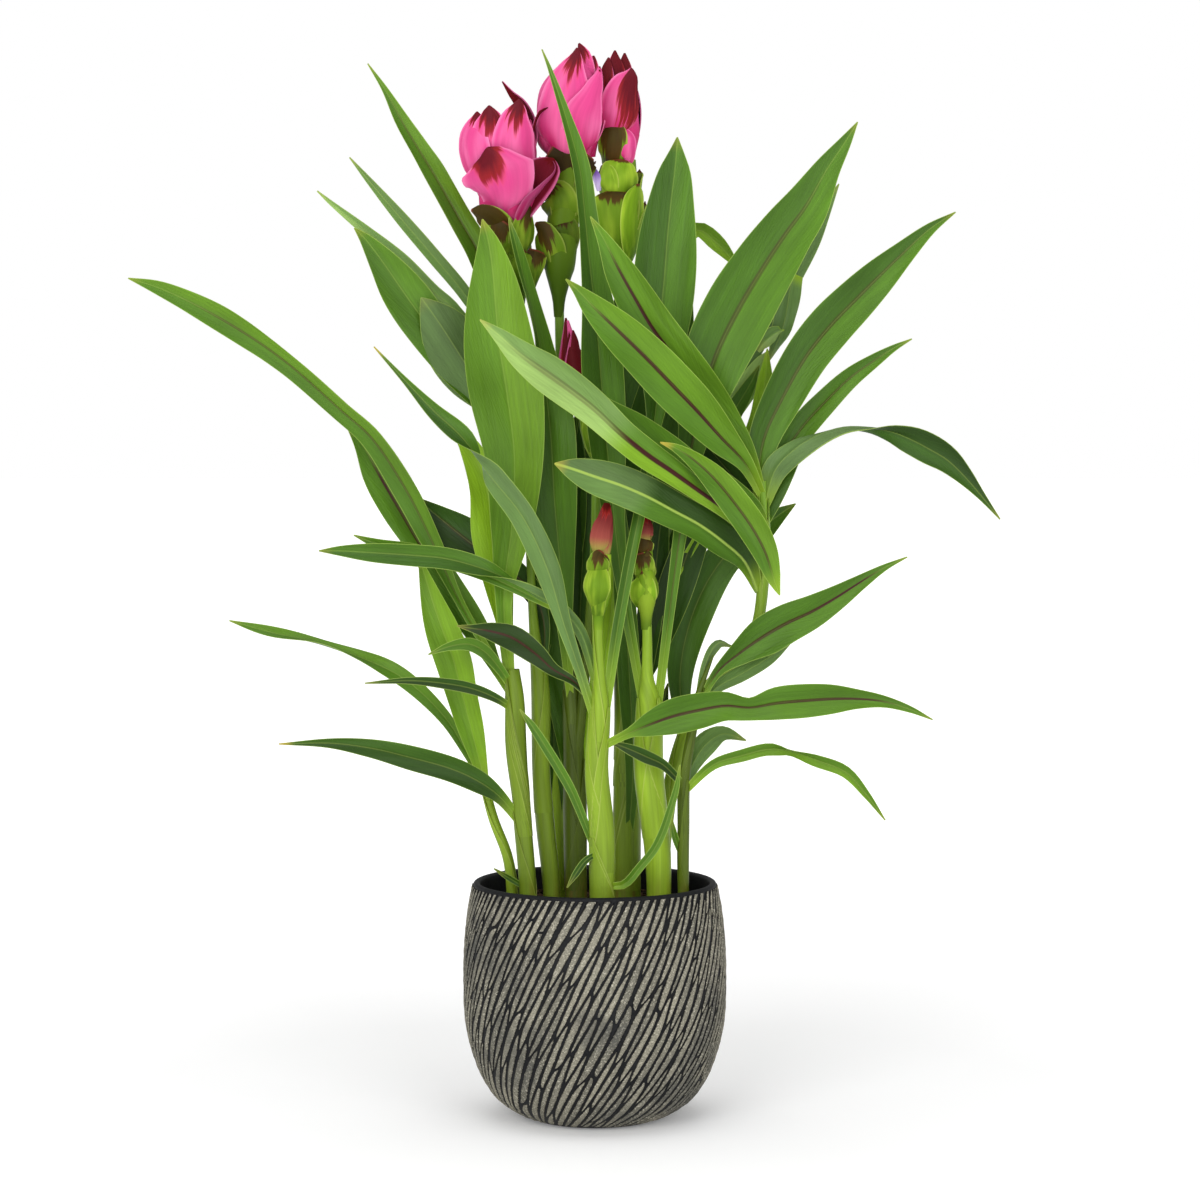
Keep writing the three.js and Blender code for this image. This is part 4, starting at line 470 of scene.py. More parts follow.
seen("streaked", (-46.5, 523, 6, 8, 12), (-46, 545.5, -2, 24, 12), (-46, 557, -4, 23, 10),
     (-45.5, 565.5, -4, 21, 8), (-45, 572.5, -2, 16, 6), (-43.5, 578.5, 2, 9, 5), (-43, 583, 6, 1))
seen("plain", (-42.5, 526, 10, 9), (-39, 544, 4, 19), (-38, 554, 4, 19), (-37.5, 561, 6, 14),
     (-37, 567.5, 9, 8), (-37, 572.5, 11, 1, 40), turn=45)
seen("cup", (-45.5, 509.5, 12, 5, 178), (-42, 517.5, 8, 11, 176), (-38, 526, 5, 15, 174),
     (-34.5, 532.5, 3, 18, 172), (-31, 539, 2, 20, 170), (-27.5, 544, 3, 17, 166), (-25, 547.5, 5, 9, 164),
     (-23.5, 549.5, 6, 1, 164))
seen("lip", (-45, 510, 0, 3, 50), (-41, 517.5, -3, 8, 55), (-36.5, 525.5, -5, 8, 60),
     (-31.5, 531, -6, 6, 64), (-27, 536, -5, 4.4, 70), (-23, 540.5, -3, 3.2, 78), (-22, 544.5, 0, 2, 84),
     (-23.5, 548, 4, 1, 88))
seen("dusky", (-41.5, 531.5, 18, 8, 150), (-38, 560, 20, 15, 150), (-38, 570, 19, 13, 148),
     (-41.5, 580, 18, 8, 145), (-47.5, 586.5, 17, 4, 142), (-52.5, 593, 16, 1, 140))
seen("curled", (-41.5, 531.5, 12, 6, 90), (-37.5, 554, 8, 8, 85), (-35, 563, 6, 5, 80),
     (-33, 570.5, 5, 4.5, 75), (-30.5, 575.5, 4, 3.6, 70), (-26.5, 578, 3, 1, 60))

flower_head("bloom_middle", foot=(-20.5, 483, 21), top=(-10, 614, 20))
part("spike", "deep pouch", (-24, 2.8), (-14, 3.6), (-5, 6), (5, 9), (24, 9.5), (44, 8.5), (67.6, 11))
wrapped("brown top", 165, 2, 28, 7, 11.5, 14.5, 26)
wrapped("deep pouch", 10, 4, 29, 6, 8.5, 9, 26)
wrapped("deep pouch", 90, 6, 32, 6, 10.5, 12, 28)
wrapped("tipped pouch", 150, 28, 50, 7, 10.5, 13.5, 26)
wrapped("deep pouch", 30, 28, 50, 7, 10, 11.5, 26)
wrapped("collar", 10, 44, 67.3, 8, 10.5, 15.3, 32)
wrapped("collar", 90, 44, 67.3, 8, 10.5, 15.3, 32)
wrapped("collar", 170, 44, 67.3, 8, 10.5, 15.8, 32)
seen("collar", (-19, 528, 24, 9, -10), (-19, 534, 16, 16, -10), (-19.5, 540, 12, 19, -12),
     (-21, 546.5, 9, 23, -14), (-23, 551, 7, 25, -16), (-26, 553.5, 7, 18, -18))
seen("collar", (-10, 528, 26, 9, 16), (-9.5, 535, 17, 16, 18), (-8.5, 541.5, 12, 18, 20),
     (-6, 547.5, 9, 16, 24), (-3.5, 551.5, 9, 9, 30))
seen("tipped pouch", (-20, 510, 26, 10, -14), (-20.5, 516, 16, 19, -16), (-21, 522.5, 12, 21, -16),
     (-22, 527.5, 11, 20, -18), (-24, 531, 12, 15, -20), (-27.5, 533, 13, 3, -24))
seen("dark pouch", (-17, 490.5, 26, 8), (-17, 498.5, 16, 14), (-17, 505.5, 12, 17), (-17, 511, 11, 15),
     (-18.5, 515, 13, 10, 6), (-20.5, 516, 15, 4, 4), turn=8)
seen("olive", (-22.5, 479, 26, 7, -20), (-24.5, 488.5, 17, 14, -22), (-26, 497.5, 12, 17, -24),
     (-28, 504.5, 11, 15, -26), (-30, 509.5, 11, 10, -28), (-34, 512.5, 12, 2, -32))
part("coma", "plain", (68, 12), (80, 16.5), (98, 16.5), (114, 12.5), (128, 2))
wrapped("plain", 60, 69, 119, 10, 20, 11, 40)
wrapped("plain", 130, 69, 121, 10, 20, 10, 40)
seen("streaked", (-19, 549.5, 13, 12, -14), (-19, 554.5, 5, 25, -16), (-19, 564, 0, 32, -16),
     (-18.5, 574, -1, 32, -14), (-17, 582.5, -1, 30, -12), (-16, 589, 0, 27, -10),
     (-14.5, 596.5, 2, 20, -8), (-12.5, 602.5, 5, 13, -6), (-10.5, 608, 9, 6, -4), (-10, 612, 12, 1))
seen("plain", (-10, 549.5, 13, 10, 16), (-9, 555.5, 4, 20, 18), (-6.5, 565.5, -2, 22, 20),
     (-5, 574, -3, 22, 22), (-2.5, 580.5, -2, 18, 24), (-0.5, 587, 1, 12, 26), (1.5, 592.5, 4, 9, 28),
     (3, 599.5, 8, 1, 30))
seen("dark apex", (-8.5, 550, 20, 10, 5), (-8.5, 571, 16, 20, 5), (-6.5, 591, 16, 15, 5),
     (-6, 602, 16, 11, 3), (-6.5, 608.5, 16, 7.5, 2), (-9, 614.5, 16, 1))
seen("short dark", (-2.5, 550, 24, 10), (-2, 571, 20, 18), (-2, 589, 18, 16), (-1.5, 598, 18, 11, 26),
     (-1, 604, 18, 6, 22), (-0.5, 607.5, 18, 1, 20), turn=30)
seen("plain", (-24.5, 550, 19, 10), (-30.5, 558.5, 14, 22), (-31, 571, 13, 24), (-28.5, 587, 14, 20, -55),
     (-22, 598, 17, 11, -50), (-16.5, 605, 20, 1, -50), turn=-60)
seen("curled", (-6.5, 589, 9, 2), (-4.5, 591.5, 8, 2.4), (-3, 593, 8, 2), (-1.5, 594.5, 9, 0.6))
seen("plain", (-3.5, 550, 19, 10), (-0.5, 558, 14, 20), (0.5, 574, 13, 21), (2, 588, 14, 14, 55),
     (3, 596.5, 16, 7, 50), (3, 601.5, 18, 1, 40), turn=60)

flower_head("bloom_right", foot=(16.5, 492, 35), top=(14.5, 610, 36))
part("spike", "pouch", (-14, 2.8), (-5, 3.6), (3, 5.6), (10, 7.5), (28, 10), (40, 9), (57.6, 8))
wrapped("bright pouch", 20, 4, 34, 5, 12, 13, 26)
wrapped("pouch", 100, 8, 36, 6, 12.5, 13, 28)
wrapped("pouch", 175, 6, 37, 6, 12, 13, 26)
wrapped("brown top", 140, 28, 54, 8, 11.5, 12.5, 26)
wrapped("bright pouch", 40, 28, 53, 8, 11, 12.5, 24)
seen("half brown", (8.5, 543, 32, 11, -8), (9.5, 550, 24, 15, -8), (10, 558, 21, 15.5, -6),
     (10.5, 564.5, 20.5, 14), (9.5, 569, 22, 8), (7, 571.5, 24, 2), turn=-4)
seen("bright pouch", (6, 526, 30, 9, -25), (6, 531.5, 25, 13, -28), (6, 537, 23, 14, -30),
     (5.5, 542.5, 23, 11, -32), (4.5, 546, 24, 3, -32))
seen("bright pouch", (13, 525.5, 30, 12), (14, 530.5, 24, 19), (14.5, 537, 22, 22), (14.5, 543, 22, 20),
     (15, 547.5, 23, 15, 12), (15, 549, 24, 7, 10), turn=14)
seen("bright streaked", (12.5, 490.5, 34, 9), (12.5, 499, 27, 16), (12.5, 509, 23, 22),
     (12.5, 518, 21, 25.5), (12.5, 525.5, 21, 26), (12.5, 529.5, 22.5, 23), (12.5, 531.5, 24.5, 10), turn=4)
seen("pouch", (6.5, 494.5, 33, 7, -30), (4, 506, 27, 14, -32), (2.5, 515.5, 25, 16), (1.5, 523, 25, 14),
     (0.5, 528, 26, 5), turn=-34)
seen("lime pouch", (20, 490.5, 33, 5, 30), (22, 500.5, 27, 12, 34), (22.5, 511.5, 25, 15, 36),
     (23, 521.5, 24, 15, 38), (24, 529.5, 24, 12, 42), (25, 535, 23, 2, 46))
part("coma", "plain", (58, 7), (72, 10.5), (94, 9.5), (110, 2))
wrapped("dark streaks", 60, 60, 112, 6, 12, 7, 26)
wrapped("dark streaks", 130, 60, 113, 6, 12, 7, 26)
seen("dark streaks", (7, 564.5, 32, 8, -20), (6.5, 575.5, 26, 10, -20), (6.5, 585, 26, 10.5, -18),
     (6.5, 593.5, 27, 9, -14), (7, 600.5, 30, 6, -8), (8, 606.5, 33, 1))
seen("long streaks", (12, 565.5, 35, 10), (12, 578.5, 31, 17), (12, 591, 31, 15), (12, 601, 33, 9),
     (11.5, 605.5, 34, 6), (11.5, 610.5, 36, 1))
seen("dark streaks", (16.5, 570, 38, 9, 20), (17, 579.5, 36, 12, 20), (17.5, 591, 35, 11, 20),
     (17.5, 599.5, 36, 8, 12), (17, 604.5, 37, 5), (17, 609, 38, 1))
seen("right streaks", (11, 559.5, 28, 8, 8), (12, 565.5, 22, 16), (14, 573.5, 19, 21, 12),
     (15, 580.5, 19, 21.5, 12), (16.5, 587, 20, 19, 14), (18.5, 592.5, 22, 15, 14), (20.5, 597, 26, 9),
     (21, 600.5, 30, 1.5), turn=10)
seen("dark streaks", (18, 555.5, 33, 8, 50), (20, 566.5, 28, 12, 52), (21, 578, 27, 14, 52),
     (22, 587, 28, 12, 50), (22.5, 593.5, 31, 6, 46), (22.5, 598, 34, 1, 46))
seen("plain", (14.5, 547, 31, 4, 14), (18, 549, 25, 9, 18), (19, 554.5, 23, 10, 20), (19, 560.5, 23, 9, 18),
     (17, 564.5, 24, 5.4, 12), (15, 566.5, 25, 1, 8))

flower_head("bud_high", foot=(1, 379, -4), top=(-15.5, 458, -5))
part("spike", "pouch", (-6, 2.8), (0, 3.4), (8, 5.6), (18, 6), (25.7, 4.6))
wrapped("pouch", -90, 4, 25.4, 4.6, 6.8, 6, 12)
wrapped("pouch", 90, 4, 25.4, 4.6, 6.8, 6, 12)
part("coma", "plain", (26, 4.4), (42, 6), (64, 3), (80, 0.6))
wrapped("dark bud", -110, 27, 74, 4, 8.5, 2, 14)
wrapped("dark bud", 50, 27, 66, 4, 8.5, 3.4, 14)
seen("dark bud", (-16, 418, -2, 8, -10), (-16, 435, -5, 9, -10), (-16, 444.5, -5, 6.5, -8),
     (-16, 452, -4, 4, -5), (-16.5, 459, -3, 1))
seen("bud side", (-11.5, 415.5, -4, 8), (-11.5, 424.5, -10, 12), (-11.5, 432.5, -11, 10.5),
     (-12, 440.5, -11, 7), (-12, 446.5, -10, 4.6), (-12.5, 452, -9, 1))

flower_head("bud_front", foot=(2, 289, -40), top=(8, 352, -41))
part("spike", "bright pouch", (-8, 2.7), (0, 3.2), (6, 4.8), (13, 6), (25, 5), (34.7, 4))
wrapped("pouch", -110, 0, 24, 3.6, 5.8, 4.6, 12)
wrapped("pouch", 60, 2, 28, 3.6, 5.8, 4.2, 12)
wrapped("short dark", -70, 14, 34.4, 3.6, 5, 3.6, 10)
wrapped("short dark", 120, 14, 34, 3.6, 4.8, 3.8, 10)
seen("bud scale", (2, 307.5, -40, 6), (1.5, 314, -46, 11), (2, 319.5, -48, 11.5), (2.5, 323.5, -47, 8),
     (4, 326, -46, 3))
seen("bud scale", (5.5, 308, -40, 6, 20), (5.5, 314, -45, 9), (5.5, 319.5, -46, 8), (5.5, 324, -45, 3),
     turn=25)
seen("pouch", (1.5, 291, -42, 6), (1, 298, -47, 11), (1, 304.5, -49, 14), (1.5, 311, -48, 13),
     (2, 316, -46, 9), (2.5, 319.5, -45, 2), turn=-5)
seen("pouch", (3, 291, -42, 5, 20), (4, 299, -45, 9, 25), (5, 306, -46, 10, 30), (6, 311.5, -45, 8, 35),
     (7, 316, -43, 2, 40))
part("coma", "plain", (35, 3.2), (43, 3.6), (54, 2.2), (63, 0.6))
wrapped("bud", -110, 30, 58, 2.8, 3.9, 1.2, 8)
wrapped("bud", -20, 32, 62, 2.8, 3.8, 0.9, 8)
wrapped("bud", 95, 34, 56, 2.6, 3.8, 1.2, 8)
seen("bud", (2.6, 322.5, -42, 6), (2.5, 327.5, -46, 9), (2.7, 332, -47, 10.2), (3.8, 339, -47, 9.4),
     (5.5, 343.5, -47, 8), (6.5, 349, -45, 6), (7, 353.5, -43, 3))
seen("bud", (7, 326.5, -40, 5, 30), (8, 333.5, -43, 8), (8, 340, -43, 8), (8.5, 347, -42, 5),
     (8, 352, -40, 1), turn=40)

flower_head("bud_right", foot=(29.5, 289, -16), top=(28, 351, -17))
part("spike", "pouch", (-8, 2.9), (0, 3.4), (8, 5.6), (18, 5.8), (32, 4.8), (42.7, 4))
wrapped("pouch", -110, 2, 26, 3.6, 5.8, 4.8, 12)
wrapped("pouch", 40, 4, 30, 3.6, 5.8, 4.6, 12)
wrapped("short dark", -70, 18, 38, 3.6, 5.4, 4.2, 10)
wrapped("short dark", 120, 20, 42.4, 3.6, 5.4, 4.2, 10)
seen("half brown", (28, 321, -16, 8), (28, 326.5, -22, 10.5), (28, 331.5, -22.5, 10.5), (29.5, 335, -21, 7),
     (33, 337, -18, 2))
seen("bud scale", (27.5, 307, -14, 7), (27.5, 314, -21, 11.5), (27.5, 320, -22, 11.5), (26.5, 325, -21, 5),
     turn=-6)
seen("bud scale", (29, 306, -14, 7), (29.5, 311.5, -20, 11), (29.5, 317.5, -21, 10), (30.5, 322.5, -20, 3),
     turn=10)
seen("bright pouch", (29, 290, -14, 6), (28, 296.5, -20, 13), (27.5, 303.5, -22, 14),
     (27.5, 309.5, -21, 11), (27, 312.5, -20, 3), turn=-6)
seen("pouch", (30.5, 290, -13, 5), (32, 298, -18, 9), (33, 304.5, -18, 9.5), (33, 310.5, -17, 5),
     (32.5, 313.5, -16, 1), turn=30)
part("coma", "plain", (43, 3.4), (50, 3.8), (56, 2.6), (62, 0.6))
wrapped("bud", -100, 40, 60, 4, 6, 1.6, 10)
wrapped("bud", 70, 42, 58, 3.4, 6, 2, 9)
seen("bud", (27.5, 330.5, -18, 7), (28, 335, -22, 10), (29, 339.5, -22, 7.5), (29, 345.5, -20, 4))

# The small violet flower beside the middle bloom's collar
FLOWER = [
    [(2.5, 531, 25, 2.5), (0.5, 538, 22, 3), (-1.5, 543.5, 18, 3), (-2, 546, 16, 1)],
    [(2.5, 531, 25, 2.5), (1.5, 539, 21, 3.4), (0.8, 543, 18, 1)],
]


def sight(rows):
    """Places of the front view, each moved along its line of sight to its depth."""
    rows = np.asarray(rows, float)
    k = 1 - rows[:, 2] / VIEW[1]
    across = VIEW[0] + (rows[:, 0] - VIEW[0]) * k
    up = VIEW[2] + (rows[:, 1] - VIEW[2]) * k
    return np.stack([across, rows[:, 2], up], axis=1)


def smooth(t):
    c = np.clip(t, 0, 1)
    return c * c * (3 - 2 * c)


def hermite(t, d, a, b, slope_a, slope_b):
    """A smooth curve from a to b, with its slopes at both ends, at the share t of the distance d."""
    start = (1 + 2 * t) * (1 - t) ** 2 * a + t * (1 - t) ** 2 * d * slope_a
    return start + t * t * (3 - 2 * t) * b + t * t * (t - 1) * d * slope_b


def along(rows, count):
    """Evenly spaced samples of a smooth curve through the rows, every column alike."""
    rows = np.asarray(rows, float)
    steps = np.linalg.norm(np.diff(rows[:, :3], axis=0), axis=1)
    reach = np.concatenate([[0], np.cumsum(steps)])
    order = np.arange(len(rows))
    before = np.maximum(order - 1, 0)
    after = np.minimum(order + 1, len(rows) - 1)
    slope = (rows[after] - rows[before]) / (reach[after] - reach[before])[:, None]
    s = np.linspace(0, reach[-1], count + 1)
    i = np.clip(np.searchsorted(reach, s, side="right") - 1, 0, len(rows) - 2)
    d = (reach[i + 1] - reach[i])[:, None]
    return hermite((s - reach[i])[:, None] / d, d, rows[i], rows[i + 1], slope[i], slope[i + 1])


def length_of(rows):
    places = np.asarray([row[:3] for row in rows], float)
    return np.linalg.norm(np.diff(places, axis=0), axis=1).sum()


def unit(vectors):
    return vectors / np.linalg.norm(vectors, axis=-1, keepdims=True)


def frames(line, turn=0.0):
    """Directions to the face and to the edge of a line of points, turned from the front."""
    ahead = unit(np.gradient(line, axis=0))
    front = unit(np.array([0.0, -1.0, 0.0]) + ahead[:, 1:2] * ahead)
    side = np.cross(ahead, front)
    angle = np.radians(np.broadcast_to(turn, len(line)))[:, None]
    face = front * np.cos(angle) + side * np.sin(angle)
    edge = side * np.cos(angle) - front * np.sin(angle)
    return face, edge


def spine(rows, count):
    """The line of a blade with its face and edge, and its place from 0 to 1 and half width along it."""
    rings = along(rows, count)
    line = sight(rings)
    face, edge = frames(line, rings[:, 4])
    return line, face, edge, np.linspace(0, 1, count + 1)[:, None], rings[:, 3:4] / 2


def around(first, second, angles):
    """Directions at angles from the first direction of each point towards the second."""
    return first[:, None] * np.cos(angles)[..., None] + second[:, None] * np.sin(angles)[..., None]


def circle(sides):
    return np.linspace(0, 2 * math.pi, sides, endpoint=False)


def vectors(a, b, c):
    """Three numbers or arrays as one array of vectors."""
    return np.stack(np.broadcast_arrays(*(np.asarray(x, float) for x in (a, b, c))), axis=-1)


class Pile:
    """Sheets of points gathered into one mesh, in millimetres, with what the materials read at each point.

    On the plant, place is across, from the base and from the tip, span is u, v and half width, look is what
    its look means, and kind is side, chance and, for a leaf, the share of its length from the base where its
    underside looks like its upper face, or for a bract the painted shade of its hollow inside. On the pot's
    strokes, look is how high the point stands, a chance and how high up the pot it is, each from 0 to 1."""

    KEYS = ("place", "span", "look", "kind")

    def __init__(self):
        self.points = []
        self.faces = []
        self.marks = {key: [] for key in self.KEYS}
        self.total = 0

    def sheet(self, points, marks, ring=False, flip=False):
        rows, wide = points.shape[:2]
        index = self.total + np.arange(rows * wide).reshape(rows, wide)
        if ring:
            index = np.concatenate([index, index[:, :1]], axis=1)
        corners = [index[:-1, :-1], index[:-1, 1:], index[1:, 1:], index[1:, :-1]]
        if flip:
            corners.reverse()
        self.faces.append(np.stack(corners, axis=-1).reshape(-1, 4))
        self.points.append(points.reshape(-1, 3))
        for key in self.KEYS:
            full = np.broadcast_to(marks[key], points.shape)
            self.marks[key].append(full.reshape(-1, 3))
        self.total += rows * wide

    def piece(self, name, material, slot, *nodes):
        """The gathered sheets as one object that rides on the root and stands for the CAD nodes."""
        mesh = bpy.data.meshes.new(name)
        points = np.concatenate(self.points) * MM
        mesh.from_pydata(points.tolist(), [], np.concatenate(self.faces).tolist())
        mesh.polygons.foreach_set("use_smooth", [True] * len(mesh.polygons))
        for key in self.KEYS:
            values = np.concatenate(self.marks[key]).astype(np.float32)
            mesh.attributes.new(key, "FLOAT_VECTOR", "POINT").data.foreach_set("vector", values.ravel())
        mesh.materials.append(material)
        made = bpy.data.objects.new(name, mesh)
        bpy.context.scene.collection.objects.link(made)
        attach(made, "root")
        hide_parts(*nodes)
        return made


def marked(place=(0, 0, 0), span=(0, 0, 0), look=(0, 0, 0), kind=(0, 0, 0)):
    """The marks of a sheet, each three numbers or arrays."""
    return {key: vectors(*three) for key, three in zip(Pile.KEYS, (place, span, look, kind))}


def shell(pile, outer, inner, marks):
    """A thin blade from its two faces, with a narrow strip round its edges."""
    back = {**marks, "kind": marks["kind"] + np.array([1.0, 0, 0])}
    pile.sheet(outer, marks)
    pile.sheet(inner, back, flip=True)
    full = {key: np.broadcast_to(marks[key], outer.shape) for key in marks}
    for pick, first, second in ((np.s_[:, :1], inner, outer), (np.s_[:, -1:], outer, inner)):
        strip = np.concatenate([first[pick], second[pick]], axis=1)
        pile.sheet(strip, {key: np.concatenate([full[key][pick]] * 2, axis=1) for key in full})
    tip = np.stack([outer[-1], inner[-1]])
    pile.sheet(tip, {key: full[key][-1:].repeat(2, axis=0) for key in full})


def leaf(pile, rows, look, lighter, chance):
    """A folded blade with waved edges, a keel below its midrib and a thick channelled petiole."""
    length = length_of(rows)
    line, face, edge, v, half = spine(rows, max(20, round(length / LEAF_ROW)))
    half = np.maximum(0.35, half)
    u = LEAF_ACROSS
    widest = half.max()
    ends = smooth(4 * v) * smooth(3 - 3 * v)
    sway = WAVE * np.sin(14 * v + 2 * u) * ends if widest > 7.5 else 0
    ripple = 0.018 * widest * np.sin(length / 9 * v + 5 * chance + np.sign(u)) * ends * np.abs(u) ** 3
    bow = 0.12 * half * (u * u - np.abs(u))
    lift = np.abs(u) * (half * math.sin(FOLD) + sway) + ripple + bow
    crease = 0.45 * np.exp(-((u * half / 0.9) ** 2)) * smooth(1.6 - 1.6 * v)
    aside = edge[:, None] * (u * half * math.cos(FOLD))[..., None]
    middle = line[:, None] + aside + face[:, None] * (lift - crease)[..., None]
    thick = BLADE + (PETIOLE - BLADE) * np.exp(-((u * half / 1.5) ** 2)) * (1 - 0.75 * smooth(v / 0.5))
    thick = np.where(np.abs(u) == 1, 0.5 * thick, thick)
    outer = middle + face[:, None] * (0.35 * thick)[..., None]
    inner = middle - face[:, None] * (0.65 * thick)[..., None]
    tone, rib, tip, turned, lean = LOOKS[look]
    # Painted light and shade: the leaf's tone stands for the light it gets, and one half is painted lighter
    # than the other as light falls across the fold.
    half_tone = tone + lighter + lean * np.tanh(u * half / 0.8)
    place = (u * half, v * length, (1 - v) * length)
    marks = marked(place, (u, v, half), (half_tone, rib, tip), (0, chance, turned))
    shell(pile, outer, inner, marks)


def stalk(pile, rows, shade, chance):
    """A stem: a round tube with faint ridges. Returns its line and radii."""
    rings = along(rows, max(12, round(length_of(rows) / STEM_ROW)))
    line = sight(rings)
    radii = rings[:, 3:4]
    v = np.linspace(0, 1, len(line))[:, None]
    angles = circle(STEM_SIDES)[None]
    ridged = radii * (1 + 0.025 * np.cos(5 * angles + 3 * v + 9 * chance))
    face, edge = frames(line)
    points = line[:, None] + around(edge, face, angles) * ridged[..., None]
    place = (angles * radii, line[:, 2:3] - SOIL_TOP, FAR)
    # The stem is painted darker or lighter by its shoot's shade: a painted shade for the light that reaches
    # it.
    pile.sheet(points, marked(place, (0, v, radii), (shade, 0, 0), (0, chance, 0)), ring=True, flip=True)
    return line, radii


def sheath(pile, line, radii, start, end, toward, shade, chance):
    """A leaf's sheath: it wraps the stem at its start, and its edges run up to the petiole at its end."""
    low, high = np.searchsorted(line[:, 2], [start, end])
    if high - low < 4:
        return
    part = line[low:high]
    wide = radii[low:high]
    v = np.linspace(0, 1, len(part))[:, None]
    reach = np.radians(178 - 138 * v ** 0.8)
    u = np.linspace(-1, 1, 21)[None]
    angles = math.radians(toward) + u * reach
    face, edge = frames(part)
    out = around(edge, face, angles)
    grow = 0.25 + 0.5 * smooth(1.2 * v) + 0.25 * np.abs(u) ** 4 * v
    outer = part[:, None] + out * (wide + grow)[..., None]
    inner = part[:, None] + out * (wide + grow - 0.35)[..., None]
    place = (angles * wide, part[:, 2:3] - SOIL_TOP, FAR)
    # The sheath takes the stem's painted shade, varied a little at random.
    look = (shade * (0.9 + 0.25 * chance), 0, 0)
    shell(pile, outer, inner, marked(place, (u, v, wide * reach), look, (0, chance, 0)))


class Head:
    """The line of a head of bracts: its foot, its own up, and the directions right and back of it."""

    def __init__(self, foot, top):
        ends = sight([foot, top])
        self.foot = ends[0]
        self.up = unit(ends[1] - ends[0])
        self.right = unit(np.array([1.0, 0, 0]) - self.up[0] * self.up)
        self.back = np.cross(self.up, self.right)

    def at(self, height, radius, angle):
        height, radius, angle = np.broadcast_arrays(height, radius, angle)
        flat = self.right * np.cos(angle)[..., None] + self.back * np.sin(angle)[..., None]
        return self.foot + self.up * height[..., None] + flat * radius[..., None]


def core(pile, head, rows, look, chance):
    """The round middle of a head, and its stem, which runs straight down below the head's foot."""
    *tip, inside = BRACTS[look]
    rows = np.array(rows, float)
    heights = np.linspace(rows[0, 0], rows[-1, 0], CORE_ROWS)[:, None]
    radii = np.interp(heights, rows[:, 0], rows[:, 1])
    angles = circle(CORE_ROWS)[None]
    v = np.linspace(0, 1, CORE_ROWS)[:, None]
    upright = np.minimum(heights, 0)[..., None] * (np.array([0.0, 0.0, 1.0]) - head.up)
    marks = marked((angles * radii, heights, FAR), (0, v, radii), tip, (0, chance, inside))
    pile.sheet(head.at(heights, radii, angles) + upright, marks, ring=True)


def bract(pile, head, row, look, chance, flare):
    """A cupped bract wrapped round the line of its head."""
    turn, start, end, root, belly, tip, wide = row
    *run, inside = BRACTS[look]
    length = end - start
    v = np.linspace(0, 1, BRACT_ROWS)[:, None]
    u = BRACT_ACROSS
    shape = np.interp(v, *(SHORT_BRACT if length < SHORT_LIMIT else LONG_BRACT))
    bezier = (1 - v) ** 2 * root + 2 * v * (1 - v) * (2 * belly - (root + tip) / 2) + v * v * tip
    radius = np.maximum(bezier, 1.5) + flare * smooth((v - 0.78) / 0.22) - 0.5 * u * u * v
    half = np.minimum(1.25, shape * wide / 2 / np.maximum(radius, 4))
    angle = math.radians(turn) + u * half
    height = start + length * (v - 0.05 * (1 - np.cos(2.2 * u)) * v)
    outer = head.at(height, radius, angle)
    inner = head.at(height, np.maximum(radius - BRACT, 0.4), angle)
    place = (u * half * radius, v * length, (1 - v) * length)
    shell(pile, outer, inner, marked(place, (u, v, half * radius), run, (0, chance, inside)))


def petal(pile, rows, look, chance):
    """A bract read in the front view: a cupped blade, its hollow side away from its face."""
    *run, inside = BRACTS[look]
    length = length_of(rows)
    line, face, edge, v, half = spine(rows, PETAL_ROWS - 1)
    half = np.maximum(0.4, half)
    u = BRACT_ACROSS
    bend = CUP * (1 - 0.35 * v)
    radius = half / np.sin(bend)
    out = around(face, edge, bend * u)
    roll = 0.35 * np.abs(u) ** 5 * np.minimum(half, 8) * smooth(2 * v) * 0.4
    outer = line[:, None] - face[:, None] * radius[..., None] + out * (radius + roll)[..., None]
    inner = outer - out * np.minimum(BRACT * (1.4 - v), 0.9 * radius)[..., None]
    place = (u * half, v * length, (1 - v) * length)
    shell(pile, outer, inner, marked(place, (u, v, half), run, (0, chance, inside)))


# Colours as they are seen on a screen: red, green and blue, 0 to 255
COLOURS = {
    "leaf dusk": (30, 50, 9),
    "leaf deep": (45, 77, 14),
    "leaf": (73, 111, 22),
    "leaf bright": (126, 164, 30),
    "leaf under": (108, 136, 80),
    "leaf pale under": (142, 170, 98),
    "leaf edge": (160, 184, 84),
    "leaf tip": (170, 150, 56),
    "rib": (54, 18, 14),
    "light rib": (150, 176, 76),
    "stalk": (136, 166, 40),
    "stalk top": (104, 140, 40),
    "stalk stain": (96, 60, 32),
    "sheath edge": (176, 186, 96),
    "pink foot shade": (178, 24, 84),
    "pink": (202, 66, 126),
    "pink light": (218, 102, 152),
    "pink edge": (230, 134, 178),
    "pink hollow shade": (88, 6, 14),
    "bud foot": (140, 132, 62),
    "bud": (138, 66, 58),
    "bud top": (104, 34, 34),
    "maroon": (80, 12, 7),
    "maroon light": (128, 26, 21),
    "maroon vein": (142, 40, 32),
    "maroon end": (204, 66, 62),
    "pouch foot": (70, 100, 14),
    "pouch": (96, 128, 22),
    "pouch light": (138, 164, 44),
    "pouch edge": (168, 180, 84),
    "brown": (50, 13, 9),
    "brown end": (68, 30, 14),
    "brown lip": (122, 52, 38),
    "brown hollow shade": (76, 22, 22),
    "violet foot": (196, 178, 222),
    "violet": (126, 84, 176),
    "clay grey": (104, 102, 92),
    "clay sandy": (146, 142, 126),
    "clay grain": (192, 187, 170),
    "clay speck": (66, 64, 56),
    "clay smudge": (66, 67, 66),
    "groove": (12, 13, 15),
    "slip": (14, 15, 17),
    "slip grain": (28, 29, 31),
    "slip cloud": (34, 35, 36),
    "soil dark": (34, 24, 18),
    "soil": (82, 58, 38),
    "soil crumb": (128, 92, 58),
}


